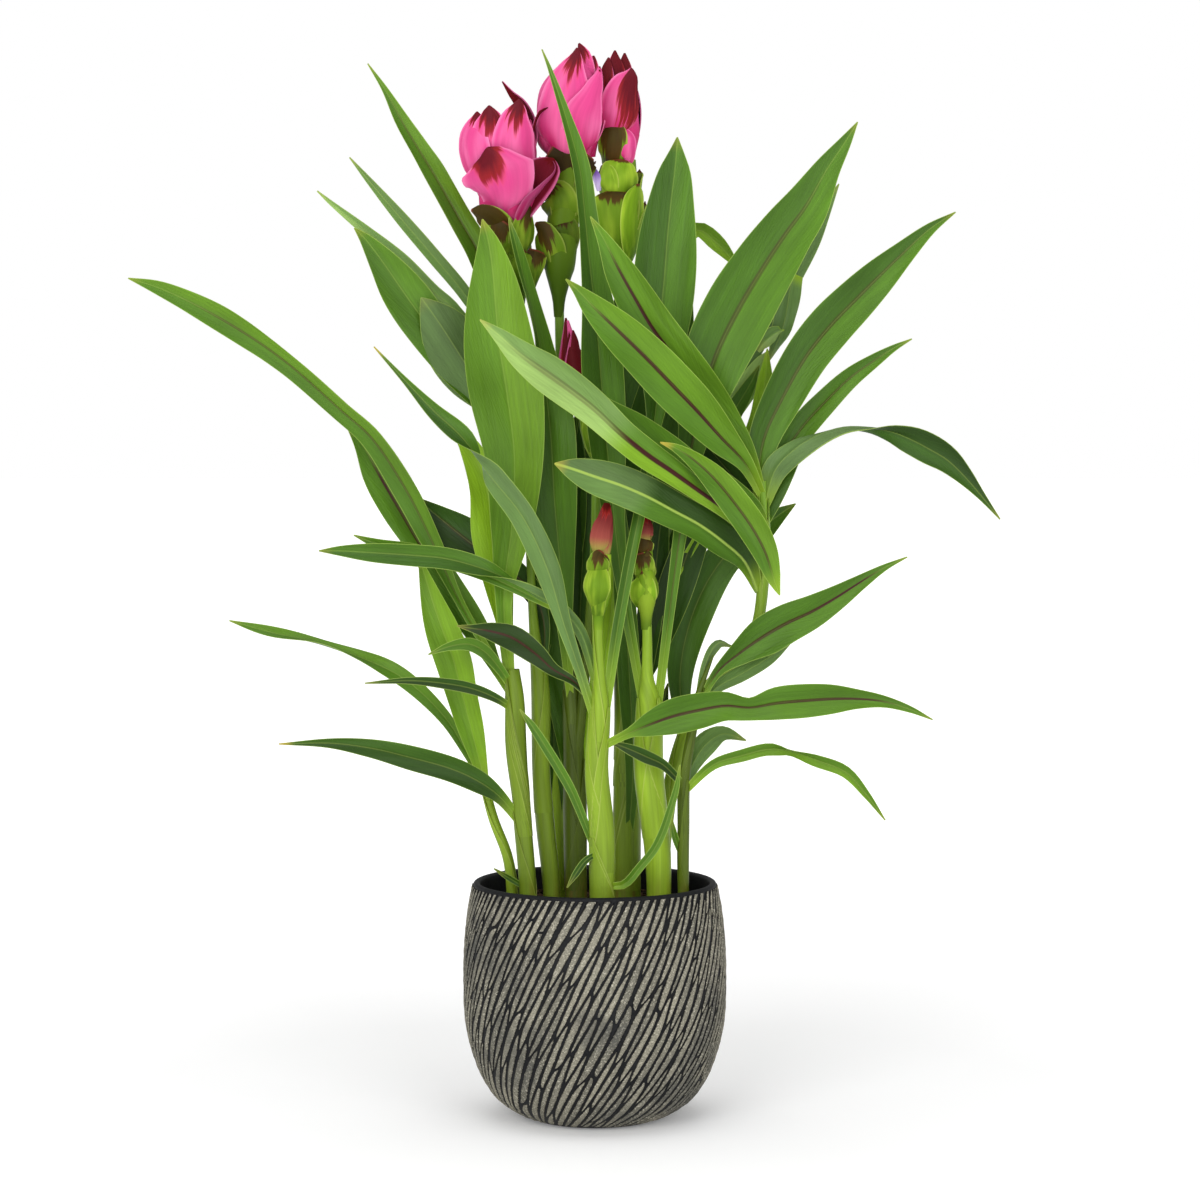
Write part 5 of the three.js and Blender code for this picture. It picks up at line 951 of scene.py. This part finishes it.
def colour(red, green, blue):
    """A colour of the table in the numbers that a shader takes."""
    scaled = [c / 255 for c in (red, green, blue)]
    return [c / 12.92 if c <= 0.04045 else ((c + 0.055) / 1.055) ** 2.4 for c in scaled] + [1.0]


class Shader:
    """A material of nodes that reads the marks of a piece's points. A colour may be given by its name."""

    def __init__(self, name, roughness=0.5, specular=0.5):
        self.material = bpy.data.materials.new(name)
        self.material.use_nodes = True
        self.tree = self.material.node_tree
        self.surface = self.tree.nodes["Principled BSDF"]
        self.surface.inputs["Roughness"].default_value = roughness
        self.surface.inputs["Specular IOR Level"].default_value = specular

    def node(self, kind, **settings):
        made = self.tree.nodes.new(kind)
        for key, value in settings.items():
            setattr(made, key, value)
        return made

    def feed(self, socket, value):
        if isinstance(value, bpy.types.NodeSocket):
            self.tree.links.new(value, socket)
        else:
            socket.default_value = colour(*COLOURS[value]) if isinstance(value, str) else value

    def read(self, key):
        """The three numbers of a mark."""
        split = self.node("ShaderNodeSeparateXYZ")
        self.feed(split.inputs[0], self.node("ShaderNodeAttribute", attribute_name=key).outputs["Vector"])
        return split.outputs[:]

    def math(self, operation, a, b=0.0, c=0.0, clamp=False):
        made = self.node("ShaderNodeMath", operation=operation, use_clamp=clamp)
        for socket, value in zip(made.inputs, (a, b, c)):
            self.feed(socket, value)
        return made.outputs[0]

    def times(self, first, *others):
        for other in others:
            first = self.math("MULTIPLY", first, other)
        return first

    def plus(self, a, b):
        return self.math("ADD", a, b)

    def less(self, a, b, clamp=False):
        return self.math("SUBTRACT", a, b, clamp=clamp)

    def linear(self, a, slope, start):
        """The number a times the slope, plus the start."""
        return self.math("MULTIPLY_ADD", a, slope, start)

    def step(self, value, low, high):
        """0 below low, 1 above high and smooth between; high may be the smaller one."""
        made = self.node("ShaderNodeMapRange", interpolation_type="SMOOTHSTEP", clamp=True)
        for key, number in (("Value", value), ("From Min", low), ("From Max", high)):
            self.feed(made.inputs[key], number)
        return made.outputs["Result"]

    def vector(self, x, y, z=0.0):
        made = self.node("ShaderNodeCombineXYZ")
        for socket, value in zip(made.inputs, (x, y, z)):
            self.feed(socket, value)
        return made.outputs[0]

    def object_place(self):
        return self.node("ShaderNodeTexCoord").outputs["Object"]

    def noise(self, vector, scale, detail=2.0, rough=0.5):
        made = self.node("ShaderNodeTexNoise", noise_dimensions="3D")
        self.feed(made.inputs["Vector"], vector)
        made.inputs["Scale"].default_value = scale
        made.inputs["Detail"].default_value = detail
        made.inputs["Roughness"].default_value = rough
        return made.outputs["Fac"]

    def streaks(self, x, fine_x, y, fine_y, seed=0.0, detail=2.0, rough=0.5):
        """Noise that is as fine as it is told to be along x and along y."""
        place = self.vector(self.times(x, fine_x), self.times(y, fine_y), seed)
        return self.noise(place, 1.0, detail, rough)

    def mix(self, share, a, b, blend="MIX"):
        made = self.node("ShaderNodeMix", data_type="RGBA", blend_type=blend, clamp_factor=True)
        self.feed(made.inputs[0], share)
        self.feed(made.inputs[6], a)
        self.feed(made.inputs[7], b)
        return made.outputs[2]

    def lay(self, tint, over, mask, most):
        """A colour laid over a tint where the mask is 1, as strongly as most says."""
        return self.mix(self.times(mask, most), tint, over)

    def scale(self, tint, value):
        """A colour made lighter or darker by a number."""
        return self.mix(1.0, tint, self.vector(value, value, value), "MULTIPLY")

    def shade(self, tint, value, slope, start):
        return self.scale(tint, self.linear(value, slope, start))

    def bump(self, height, strength, distance):
        made = self.node("ShaderNodeBump")
        made.inputs["Strength"].default_value = strength
        made.inputs["Distance"].default_value = distance * MM
        self.feed(made.inputs["Height"], height)
        self.feed(self.surface.inputs["Normal"], made.outputs["Normal"])

    def colour(self, value):
        self.feed(self.surface.inputs["Base Color"], value)
        return self.material


def leaf_material():
    """Leaf green with fine veins, a dark or pale midrib, a thin pale margin and a grey-green underside."""
    m = Shader("leaf_green", roughness=0.45, specular=0.18)
    across, base, far = m.read("place")
    v, half = m.read("span")[1:]
    tone, rib, yellow = m.read("look")
    side, chance, turned = m.read("kind")
    off = m.math("ABSOLUTE", across)
    seed = m.times(chance, 80.0)
    under = m.times(side, m.step(v, m.less(turned, 0.01), m.plus(turned, 0.1)))

    fine = m.noise(m.vector(m.times(m.linear(off, -4.0, base), 0.3), seed), 1.0, rough=0.6)
    lines = m.streaks(across, 0.9, base, 0.014, seed, rough=0.6)
    broad = m.streaks(across, 0.2, base, 0.01, seed)
    cloud = m.streaks(across, 0.05, base, 0.03, seed)

    # Dusk to bright green by the tone, which holds painted light and shade as well as the leaf's own tone.
    tint = m.mix(m.step(tone, -1.0, -0.4), "leaf dusk", "leaf deep")
    tint = m.mix(m.step(tone, -0.6, 0.1), tint, "leaf")
    tint = m.mix(m.step(tone, 0.0, 1.0), tint, "leaf bright")
    light = m.step(tone, 0.0, 0.35)
    grey = m.mix(light, "leaf under", "leaf pale under")
    grey = m.mix(m.linear(light, 0.25, 0.5), tint, grey)
    tint = m.mix(under, tint, grey)
    shade = m.times(m.linear(fine, 0.26, 0.87), m.linear(lines, 0.42, 0.79))
    shade = m.times(shade, m.linear(broad, 0.5, 0.75), m.linear(cloud, 0.5, 0.75))
    tint = m.scale(tint, shade)

    tint = m.lay(tint, "stalk", m.step(v, 0.16, 0.0), 0.75)
    tint = m.lay(tint, "leaf edge", m.step(m.less(half, off), 0.5, 0.12), 0.5)

    width = m.times(m.linear(half, 0.062, 0.26), m.linear(m.step(rib, 1.0, 1.2), 0.8, 1.0))
    line = m.step(off, m.times(width, 1.3), m.times(width, 0.7))
    dark = m.times(m.math("MAXIMUM", rib, 0.0), m.step(v, 0.94, 0.8), m.step(v, 0.06, 0.2))
    dark = m.times(dark, m.linear(under, -0.6, 1.0), m.linear(m.step(lines, 0.3, 0.6), 0.25, 0.75))
    tint = m.mix(m.times(line, dark), tint, "rib")
    pale = m.math("MAXIMUM", m.times(rib, -1.0), 0.0)
    pale_width = m.linear(pale, 0.7, 0.35)
    pale_line = m.step(off, m.plus(pale_width, 0.2), m.times(pale_width, 0.4))
    pale_line = m.times(pale_line, m.linear(pale, 0.75, 0.2), m.less(1.0, dark, clamp=True))
    tint = m.mix(pale_line, tint, "light rib")
    tint = m.mix(m.times(m.step(far, 10.0, 2.0), m.linear(yellow, 0.7, 0.1)), tint, "leaf tip")
    m.bump(m.linear(broad, 2.5, m.plus(lines, fine)), 0.4, 0.5)
    return m.colour(tint)


def stalk_material():
    """Stems and sheaths: yellow-green with fine lines along them, pale and stained at the foot."""
    m = Shader("stalk_green", roughness=0.42, specular=0.2)
    across, height = m.read("place")[:2]
    u = m.read("span")[0]
    tone = m.read("look")[0]
    seed = m.times(m.read("kind")[1], 80.0)
    lines = m.streaks(across, 1.3, height, 0.012, seed, detail=3.0)
    wide = m.streaks(across, 0.25, height, 0.02, seed)
    tint = m.mix(m.step(height, 100.0, 260.0), "stalk", "stalk top")
    tint = m.shade(tint, lines, 0.5, 0.75)
    tint = m.shade(tint, wide, 0.7, 0.65)
    # Painted light and shade: tone is the stem's painted shade, and stems are painted lighter higher up,
    # where more light reaches them.
    lit = m.times(m.step(height, 130.0, 250.0), 0.8)
    tint = m.scale(tint, m.plus(tone, m.times(m.less(1.15, tone, clamp=True), lit)))
    foot = m.times(m.step(height, 26.0, 2.0), m.step(wide, 0.35, 0.75))
    tint = m.lay(tint, "stalk stain", foot, 0.7)
    edge = m.times(m.step(m.math("ABSOLUTE", u), 0.93, 0.99), m.step(tone, 0.1, 0.9))
    tint = m.lay(tint, "sheath edge", edge, 0.4)
    m.bump(lines, 0.3, 0.4)
    return m.colour(tint)


def dark_run(m, across, far, u, veins, extent, run):
    """How much of the dark of a bract's tip there is: a rounded patch, or streaks that run down from the tip.
    Also the place in it, 0 at the tip and 1 at its end."""
    flat = m.times(far, 0.45)
    aside = m.plus(across, 3.0)
    away = m.math("SQRT", m.plus(m.times(flat, flat), m.times(aside, aside)))
    patch = m.plus(m.linear(veins, 9.0, -4.0), extent)
    away = m.math("DIVIDE", away, m.math("MAXIMUM", patch, 0.1))
    shift = m.less(u, m.math("MAXIMUM", m.less(run, 1.0), 0.0))
    middle = m.less(1.2, m.times(shift, shift))
    reach = m.times(veins, 1.9, m.times(extent, middle))
    streak = m.math("DIVIDE", far, m.math("MAXIMUM", reach, 0.1))
    share = m.math("MINIMUM", run, 1.0)
    place = m.plus(m.times(away, m.less(1.0, share)), m.times(streak, share))
    return m.step(place, 1.05, 0.75), place


def pink_material():
    """Pink bracts: pale at the edge, with painted shade deep in the folds at their foot and on their hollow
    side, and maroon tips that run down in streaks.
    """
    m = Shader("bract_pink", roughness=0.55, specular=0.06)
    across, _, far = m.read("place")
    u, v = m.read("span")[:2]
    tone, extent, run = m.read("look")
    side, chance, inside = m.read("kind")
    off = m.math("ABSOLUTE", u)
    seed = m.times(chance, 60.0)
    veins = m.streaks(u, 6.0, v, 0.7, seed, detail=3.0, rough=0.6)
    cloud = m.streaks(u, 1.6, v, 2.0, seed, detail=1.0)
    # Darker pink towards the foot: a painted shade where the bracts fold together.
    tint = m.mix(m.step(v, 0.0, 0.6), "pink foot shade", "pink")
    tint = m.lay(tint, "pink light", m.step(cloud, 0.35, 0.75), 0.75)
    tint = m.lay(tint, "pink edge", m.step(off, 0.8, 1.0), 0.5)
    bud = m.mix(m.step(v, 0.12, 0.4), "bud foot", "bud")
    bud = m.mix(m.step(v, 0.3, 0.75), bud, "bud top")
    tint = m.mix(m.step(tone, 0.2, 0.4), tint, bud)
    tint = m.shade(tint, veins, 0.4, 0.8)
    # Bracts of tone under 0 are painted darker: a painted shade.
    tint = m.shade(tint, m.math("MINIMUM", tone, 0.0), 0.6, 1.0)
    dark, place = dark_run(m, across, far, u, veins, extent, run)
    deep = m.mix(m.step(place, 0.4, 0.8), "maroon", "maroon light")
    deep = m.mix(m.step(veins, 0.62, 0.8), deep, "maroon vein")
    deep = m.mix(m.step(place, 0.8, 1.0), deep, "maroon end")
    tint = m.lay(tint, deep, dark, 0.95)
    # Painted shade on the hollow inner side of the bract, away from its edge.
    tint = m.lay(tint, "pink hollow shade", m.times(side, inside, m.step(off, 1.0, 0.8)), 0.94)
    m.bump(veins, 0.3, 0.5)
    return m.colour(tint)


def green_bract_material():
    """Green pouched bracts with brown lips."""
    m = Shader("bract_green", roughness=0.5, specular=0.09)
    across, _, far = m.read("place")
    u, v = m.read("span")[:2]
    tone, extent, run = m.read("look")
    side, chance, inside = m.read("kind")
    seed = m.times(chance, 60.0)
    veins = m.streaks(u, 6.0, v, 0.8, seed, detail=3.0, rough=0.6)
    cloud = m.streaks(u, 1.8, v, 2.0, seed, detail=1.0)
    tint = m.mix(m.step(v, 0.05, 0.6), "pouch foot", "pouch")
    tint = m.lay(tint, "pouch light", m.step(cloud, 0.4, 0.75), 0.75)
    tint = m.lay(tint, "pouch edge", m.step(m.math("ABSOLUTE", u), 0.88, 1.0), 0.5)
    tint = m.shade(tint, veins, 0.5, 0.75)
    # Lighter or darker by the tone: the bract's own tone with painted light and shade.
    tint = m.shade(tint, tone, 0.7, 1.0)
    dark, place = dark_run(m, across, far, u, veins, extent, run)
    deep = m.mix(m.step(place, 0.2, 0.75), "brown", "brown end")
    tint = m.lay(tint, m.shade(deep, tone, 0.5, 1.0), dark, 0.9)
    tint = m.lay(tint, "brown lip", m.step(far, 1.4, 0.4), 0.6)
    # Painted shade on the hollow inner side of the bract.
    tint = m.lay(tint, "brown hollow shade", m.times(side, inside), 0.85)
    m.bump(veins, 0.35, 0.6)
    return m.colour(tint)


def violet_material():
    m = Shader("flower_violet", roughness=0.5, specular=0.3)
    u, v = m.read("span")[:2]
    veins = m.streaks(u, 6.0, v, 1.0)
    tint = m.mix(m.step(v, 0.2, 0.9), "violet foot", "violet")
    m.bump(veins, 0.2, 0.3)
    return m.colour(m.shade(tint, veins, 0.4, 0.8))


def clay_material():
    """Carved strokes of sandy grey clay in black grooves, with darker smudged patches."""
    m = Shader("carved_clay", roughness=0.85, specular=0.1)
    rise, chance, height = m.read("look")
    place = m.object_place()
    grain = m.noise(place, 900.0, 3.0, 0.75)
    sand = m.noise(place, 2100.0, 2.0, 0.7)
    smudge = m.noise(place, 26.0, 3.0, 0.6)
    tint = m.mix(chance, "clay grey", "clay sandy")
    tint = m.mix(m.step(grain, 0.5, 0.68), tint, "clay grain")
    tint = m.lay(tint, "clay speck", m.step(sand, 0.5, 0.34), 0.75)
    tint = m.lay(tint, "clay smudge", m.step(smudge, 0.48, 0.68), 0.6)
    # Strokes stand lower just below the lip, so more of the black groove colour shows there.
    rise_less_at_top = m.less(rise, m.times(m.step(height, 0.9, 0.99), 0.3))
    level = m.linear(m.less(grain, 0.5), 0.7, rise_less_at_top)
    tint = m.mix(m.step(level, 0.25, 0.7), "groove", tint)
    m.bump(m.plus(grain, sand), 0.5, 0.35)
    return m.colour(tint)


def glaze_material():
    """The pot's body: matt black slip with a faint grain."""
    m = Shader("black_slip", roughness=0.6, specular=0.15)
    place = m.object_place()
    grain = m.noise(place, 700.0, 3.0, 0.6)
    cloud = m.noise(place, 40.0)
    tint = m.mix(m.step(grain, 0.4, 0.8), "slip", "slip grain")
    tint = m.lay(tint, "slip cloud", m.step(cloud, 0.45, 0.75), 0.5)
    m.bump(grain, 0.25, 0.3)
    return m.colour(tint)


def soil_material():
    m = Shader("potting_soil", roughness=0.95, specular=0.2)
    place = m.object_place()
    clump = m.noise(place, 160.0, 4.0, 0.7)
    crumb = m.noise(place, 900.0, 3.0, 0.7)
    tint = m.mix(m.step(clump, 0.35, 0.7), "soil dark", "soil")
    tint = m.lay(tint, "soil crumb", m.step(crumb, 0.55, 0.75), 0.6)
    m.bump(m.plus(clump, crumb), 0.9, 1.5)
    return m.colour(tint)


# The pot's outer wall, by angle and by a height that is stretched so that shapes stay true all round the wall
profile = np.array(POT_PROFILE, float)
profile_slopes = np.gradient(profile[:, 0], profile[:, 1])


def wall_radius(z):
    """Radius of the outer wall: a smooth curve through the profile."""
    z = np.asarray(z, float)
    i = np.clip(np.searchsorted(profile[:, 1], z, side="right") - 1, 0, len(profile) - 2)
    d = profile[i + 1, 1] - profile[i, 1]
    ends = (profile[i, 0], profile[i + 1, 0], profile_slopes[i], profile_slopes[i + 1])
    return hermite((z - profile[i, 1]) / d, d, *ends)


wall_z = np.linspace(WALL_START, POT_HEIGHT - LIP, 400)
wall_r = wall_radius(wall_z)
wall_step = np.hypot(np.diff(wall_z), np.diff(wall_r)) * 2 / (wall_r[1:] + wall_r[:-1])
wall_q = np.concatenate([[0], np.cumsum(wall_step)])


def wall_size(q):
    return float(np.interp(q, wall_q, wall_r))


def on_wall(theta, q, rise):
    """The point of the wall at an angle and a stretched height, raised by rise along its normal."""
    z = np.interp(q, wall_q, wall_z)
    r = wall_radius(z)
    slope = (wall_radius(z + 0.3) - wall_radius(z - 0.3)) / 0.6
    scale = rise / np.sqrt(1 + slope**2)
    radius = r + scale
    return np.stack([radius * np.cos(theta), radius * np.sin(theta), z - scale * slope], axis=-1)


def apart(seed, other):
    """How far one seed is from another, as an angle and a stretched height."""
    return (other[0] - seed[0] + math.pi) % (2 * math.pi) - math.pi, other[1] - seed[1]


def stroke_seeds(draw):
    """Middles of the strokes (angle, stretched height), as far apart as strokes are wide and long."""
    seeds = []
    for _ in range(STROKE_TRIES):
        seed = (draw.uniform(0, 2 * math.pi), draw.uniform(-0.1, wall_q[-1] + 0.1))
        size = wall_size(seed[1])
        for other in seeds:
            dt, dq = apart(other, seed)
            side = (dt - STROKE_SLANT * dq) * size / STROKE_PITCH
            ahead = dq * size / SEED_LENGTH
            if side * side + ahead * ahead < SEED_SPACE:
                break
        else:
            seeds.append(seed)
    return seeds


def clipped(corners, normal, limit):
    """The part of a polygon where normal · point is under the limit."""
    out = []
    for here, there in zip(corners, corners[1:] + corners[:1]):
        a = normal[0] * here[0] + normal[1] * here[1] - limit
        b = normal[0] * there[0] + normal[1] * there[1] - limit
        if a <= 0:
            out.append(here)
        if a * b < 0:
            t = a / (a - b)
            out.append((here[0] + t * (there[0] - here[0]), here[1] + t * (there[1] - here[1])))
    return out


def stroke_shape(seed, seeds):
    """The outline of one stroke round its seed: what is nearer to it than to its neighbours, less the groove.
    Its coordinates are across and along the stroke, in millimetres."""
    size = wall_size(seed[1])
    stretch = STROKE_PITCH / SEED_LENGTH
    wide, reach = 12.0, 1.4 * STROKE_LENGTH
    corners = [(-wide, -reach), (wide, -reach), (wide, reach), (-wide, reach)]
    for other in seeds:
        dt, dq = apart(seed, other)
        x = (dt - STROKE_SLANT * dq) * size
        y = dq * size
        if (x == 0 and y == 0) or abs(y) > 2 * reach or abs(x) > 2.5 * wide:
            continue
        normal = (x, y * stretch**2)
        long = math.hypot(*normal)
        middle = 0.5 * (x * x + y * y * stretch**2) / long
        corners = clipped(corners, (normal[0] / long, normal[1] / long), middle - GROOVE_WIDTH / 2)
        if len(corners) < 3:
            return corners
    corners = clipped(corners, (0, 1), (wall_q[-1] - seed[1]) * size)
    return clipped(corners, (0, -1), seed[1] * size)


def stroke_sides(corners, heights):
    """Where a stroke's outline is cut at each height, on the left and on the right, smoothed."""
    left, right = [], []
    for y in heights:
        cuts = []
        for here, there in zip(corners, corners[1:] + corners[:1]):
            if (here[1] - y) * (there[1] - y) < 0:
                t = (y - here[1]) / (there[1] - here[1])
                cuts.append(here[0] + t * (there[0] - here[0]))
        left.append(min(cuts))
        right.append(max(cuts))
    sides = np.array([left, right])
    for _ in range(3):
        sides[:, 1:-1] = (sides[:, :-2] + 2 * sides[:, 1:-1] + sides[:, 2:]) / 4
    return sides[0][:, None], sides[1][:, None]


def strokes(pile, draw):
    """The carved strokes: long leaning mounds with pointed ends, packed round the wall."""
    seeds = stroke_seeds(draw)
    u = STROKE_ACROSS
    for theta, q in seeds:
        corners = stroke_shape((theta, q), seeds)
        if len(corners) < 3:
            continue
        low = min(corner[1] for corner in corners)
        high = max(corner[1] for corner in corners)
        if high - low < SHORTEST_STROKE:
            continue
        rows = max(8, round((high - low) / STROKE_ROW))
        heights = low + (high - low) * (0.5 - 0.5 * np.cos(np.pi * np.linspace(0.04, 0.96, rows)))
        left, right = stroke_sides(corners, heights)
        size = wall_size(q)
        half = (right - left) / 2
        dq = heights[:, None] / size + 0 * u
        dt = ((left + right) / 2 + half * u) / size + STROKE_SLANT * dq
        full = smooth(half / 0.9) * smooth((dq + q) * size / 5 + 0.2)
        wave = 0.12 * np.sin(heights[:, None] * 0.9 + 7 * theta)
        rise = (STROKE_RISE + wave) * (1 - np.abs(u) ** 2.4) * full
        points = on_wall(theta + dt, np.clip(q + dq, 0, wall_q[-1]), GROOVE_LEVEL + rise - 0.12)
        pile.sheet(points, marked(look=(rise / STROKE_RISE, draw.random(), points[..., 2] / POT_HEIGHT)))


def turned(pile, rows):
    """A turned surface from rows of radius and height."""
    rows = np.array(rows, float)
    angles = circle(POT_SIDES)
    r = rows[:, 0:1]
    points = np.stack([r * np.cos(angles), r * np.sin(angles), rows[:, 1:2] + 0 * angles], axis=-1)
    pile.sheet(points, marked(), ring=True)


def pot(draw):
    slip = glaze_material()
    body = Pile()
    heights = np.concatenate([np.linspace(0, 30, 16)[1:], np.linspace(34, POT_HEIGHT - LIP - 0.4, 30)])
    wall = [(wall_radius(z) + GROOVE_LEVEL, z) for z in heights]
    middle, half = (RIM_INNER + RIM_OUTER) / 2, (RIM_OUTER - RIM_INNER) / 2
    turns = np.linspace(0, math.pi, 12)
    lip = [(middle + half * math.cos(a), POT_HEIGHT - LIP + LIP * math.sin(a)) for a in turns]
    turned(body, POT_FOOT + wall + lip + POT_INSIDE)
    body.piece("pot_body", slip, "carved_stoneware", "pot")
    carved = Pile()
    strokes(carved, draw)
    carved.piece("pot_strokes", clay_material(), "carved_stoneware", "pot")


def chip(pile, draw):
    """A chip or fibre on the soil: a short bar with six sides and narrow ends."""
    r = CHIP_REACH * math.sqrt(draw.random())
    a = draw.uniform(0, 2 * math.pi)
    turn = draw.uniform(0, math.pi)
    long, wide = draw.uniform(0.8, 3.2), draw.uniform(0.4, 1.3)
    lean = draw.uniform(-0.4, 0.4)
    middle = np.array([r * math.cos(a), r * math.sin(a), SOIL_TOP + draw.uniform(0.2, 1.5)])
    ahead = np.array([math.cos(turn), math.sin(turn), lean])
    side = np.array([-math.sin(turn), math.cos(turn), 0.0])
    up = np.array([0, 0, 0.6])
    rings = [
        [middle + ahead * long * t + w * wide * (side * math.cos(b) + up * math.sin(b)) for b in circle(6)]
        for t, w in CHIP_RINGS
    ]
    pile.sheet(np.array(rings), marked(), ring=True)


def soil(draw):
    """Crumbly soil: a lumpy disc with chips and fibres lying on it."""
    radius = np.linspace(0, SOIL_RADIUS, SOIL_RINGS)[:, None]
    angle = circle(SOIL_SIDES)[None]
    x, y = radius * np.cos(angle), radius * np.sin(angle)
    bumps = 0
    for _ in range(SOIL_BUMPS):
        fx, fy = draw.uniform(-0.9, 0.9), draw.uniform(-0.9, 0.9)
        bumps = bumps + np.sin(fx * x + fy * y + draw.uniform(0, 6.3)) / (3 + 6 * math.hypot(fx, fy))
    z = SOIL_TOP + 0.9 * bumps - 1.5 * smooth((radius - 60) / 7)
    pile = Pile()
    pile.sheet(np.stack([x, y, z], axis=-1), marked(), ring=True, flip=True)
    for _ in range(CHIPS):
        chip(pile, draw)
    pile.piece("soil_bed", soil_material(), "potting_soil", "soil")


def shoots(draw):
    green = leaf_material()
    stalk_green = stalk_material()
    for each in SHOOTS:
        blades, stalks = Pile(), Pile()
        main = None
        for rows in each["stems"]:
            line, radii = stalk(stalks, rows, each["shade"], draw.random())
            main = main or (line, radii)
        for look, lighter, rows in each["leaves"]:
            chance = draw.random()
            leaf(blades, rows, look, lighter, chance)
            base = sight([rows[0], rows[1]])
            toward = 0 if base[1, 0] > base[0, 0] else 180
            foot = base[0, 2]
            wrap = min(75, foot - SOIL_TOP - 4)
            if wrap > 20 and foot < main[0][-1, 2]:
                turn = toward + 50 * (chance - 0.3)
                sheath(stalks, *main, foot - wrap, foot + 9, turn, each["shade"], chance)
        blades.piece(each["name"] + "_blades", green, "leaf", each["name"])
        stalks.piece(each["name"] + "_stalks", stalk_green, "leaf", each["name"])


def blooms(draw):
    pink = pink_material()
    green = green_bract_material()
    kinds = {
        "spike": ("_green_bracts", green, "green_bract", GREEN_FLARE),
        "coma": ("_pink_bracts", pink, "pink_bract", 0.0),
    }
    for each in HEADS:
        line = Head(each["foot"], each["top"])
        for section in each["parts"]:
            ending, material, slot, flare = kinds[section["kind"]]
            pile = Pile()
            core(pile, line, section["core"], section["look"], draw.random())
            for look, row in section["wrapped"]:
                bract(pile, line, row, look, draw.random(), flare)
            for look, rows in section["seen"]:
                petal(pile, rows, look, draw.random())
            pile.piece(each["name"] + ending, material, slot, each["name"] + "_" + section["kind"])
    small = Pile()
    for rows in FLOWER:
        petal(small, with_turns(rows), "plain", draw.random())
    small.piece("flower_lobes", violet_material(), "violet_petal", "flower")


def studio_world():
    """White behind the plant, and a softer white light on it."""
    world = bpy.data.worlds.new("studio")
    world.use_nodes = True
    nodes = world.node_tree.nodes
    links = world.node_tree.links
    light = nodes["Background"]
    light.inputs["Color"].default_value = (1, 1, 1, 1)
    light.inputs["Strength"].default_value = ROOM_LIGHT
    behind = nodes.new("ShaderNodeBackground")
    behind.inputs["Color"].default_value = (1, 1, 1, 1)
    either = nodes.new("ShaderNodeMixShader")
    links.new(nodes.new("ShaderNodeLightPath").outputs["Is Camera Ray"], either.inputs[0])
    links.new(light.outputs[0], either.inputs[1])
    links.new(behind.outputs[0], either.inputs[2])
    links.new(either.outputs[0], nodes["World Output"].inputs[0])
    bpy.context.scene.world = world


def floor():
    """A white floor that shines faintly, so that it is white wherever no shadow falls."""
    a = FLOOR_HALF
    mesh = bpy.data.meshes.new("floor")
    mesh.from_pydata([(-a, -a, 0), (a, -a, 0), (a, a, 0), (-a, a, 0)], [], [(0, 1, 2, 3)])
    made = bpy.data.objects.new("floor", mesh)
    paint = Shader("floor_white", roughness=0.9, specular=0.1)
    surface = paint.surface
    surface.inputs["Base Color"].default_value = (0.9, 0.9, 0.9, 1)
    surface.inputs["Emission Color"].default_value = (1, 1, 1, 1)
    away = paint.node("ShaderNodeVectorMath", operation="LENGTH")
    paint.feed(away.inputs[0], paint.object_place())
    glow = paint.node("ShaderNodeMapRange")
    paint.feed(glow.inputs["Value"], away.outputs["Value"])
    numbers = (("From Min", GLOW_START), ("From Max", GLOW_END), ("To Min", FLOOR_GLOW), ("To Max", FAR_GLOW))
    for key, number in numbers:
        glow.inputs[key].default_value = number
    paint.feed(surface.inputs["Emission Strength"], glow.outputs["Result"])
    mesh.materials.append(paint.material)
    bpy.context.scene.collection.objects.link(made)


def lamps():
    for name, place, size, power in LAMPS:
        lamp = bpy.data.lights.new(name, "AREA")
        lamp.size = size
        lamp.energy = power
        made = bpy.data.objects.new(name, lamp)
        made.location = place
        away = Vector(place) - Vector(LIGHT_AIM)
        made.rotation_euler = away.to_track_quat("Z", "Y").to_euler()
        bpy.context.scene.collection.objects.link(made)


def camera():
    lens = bpy.data.cameras.new("camera")
    lens.lens = LENS
    lens.sensor_width = SENSOR
    lens.sensor_fit = "HORIZONTAL"
    made = bpy.data.objects.new("camera", lens)
    made.location = [c * MM for c in VIEW]
    made.rotation_euler = (math.radians(90 - VIEW_TILT), 0, 0)
    bpy.context.scene.collection.objects.link(made)
    bpy.context.scene.camera = made


draw = random.Random(7)
pot(draw)
soil(draw)
shoots(draw)
blooms(draw)
bpy.context.scene.view_settings.view_transform = "Standard"
studio_world()
floor()
lamps()
camera()
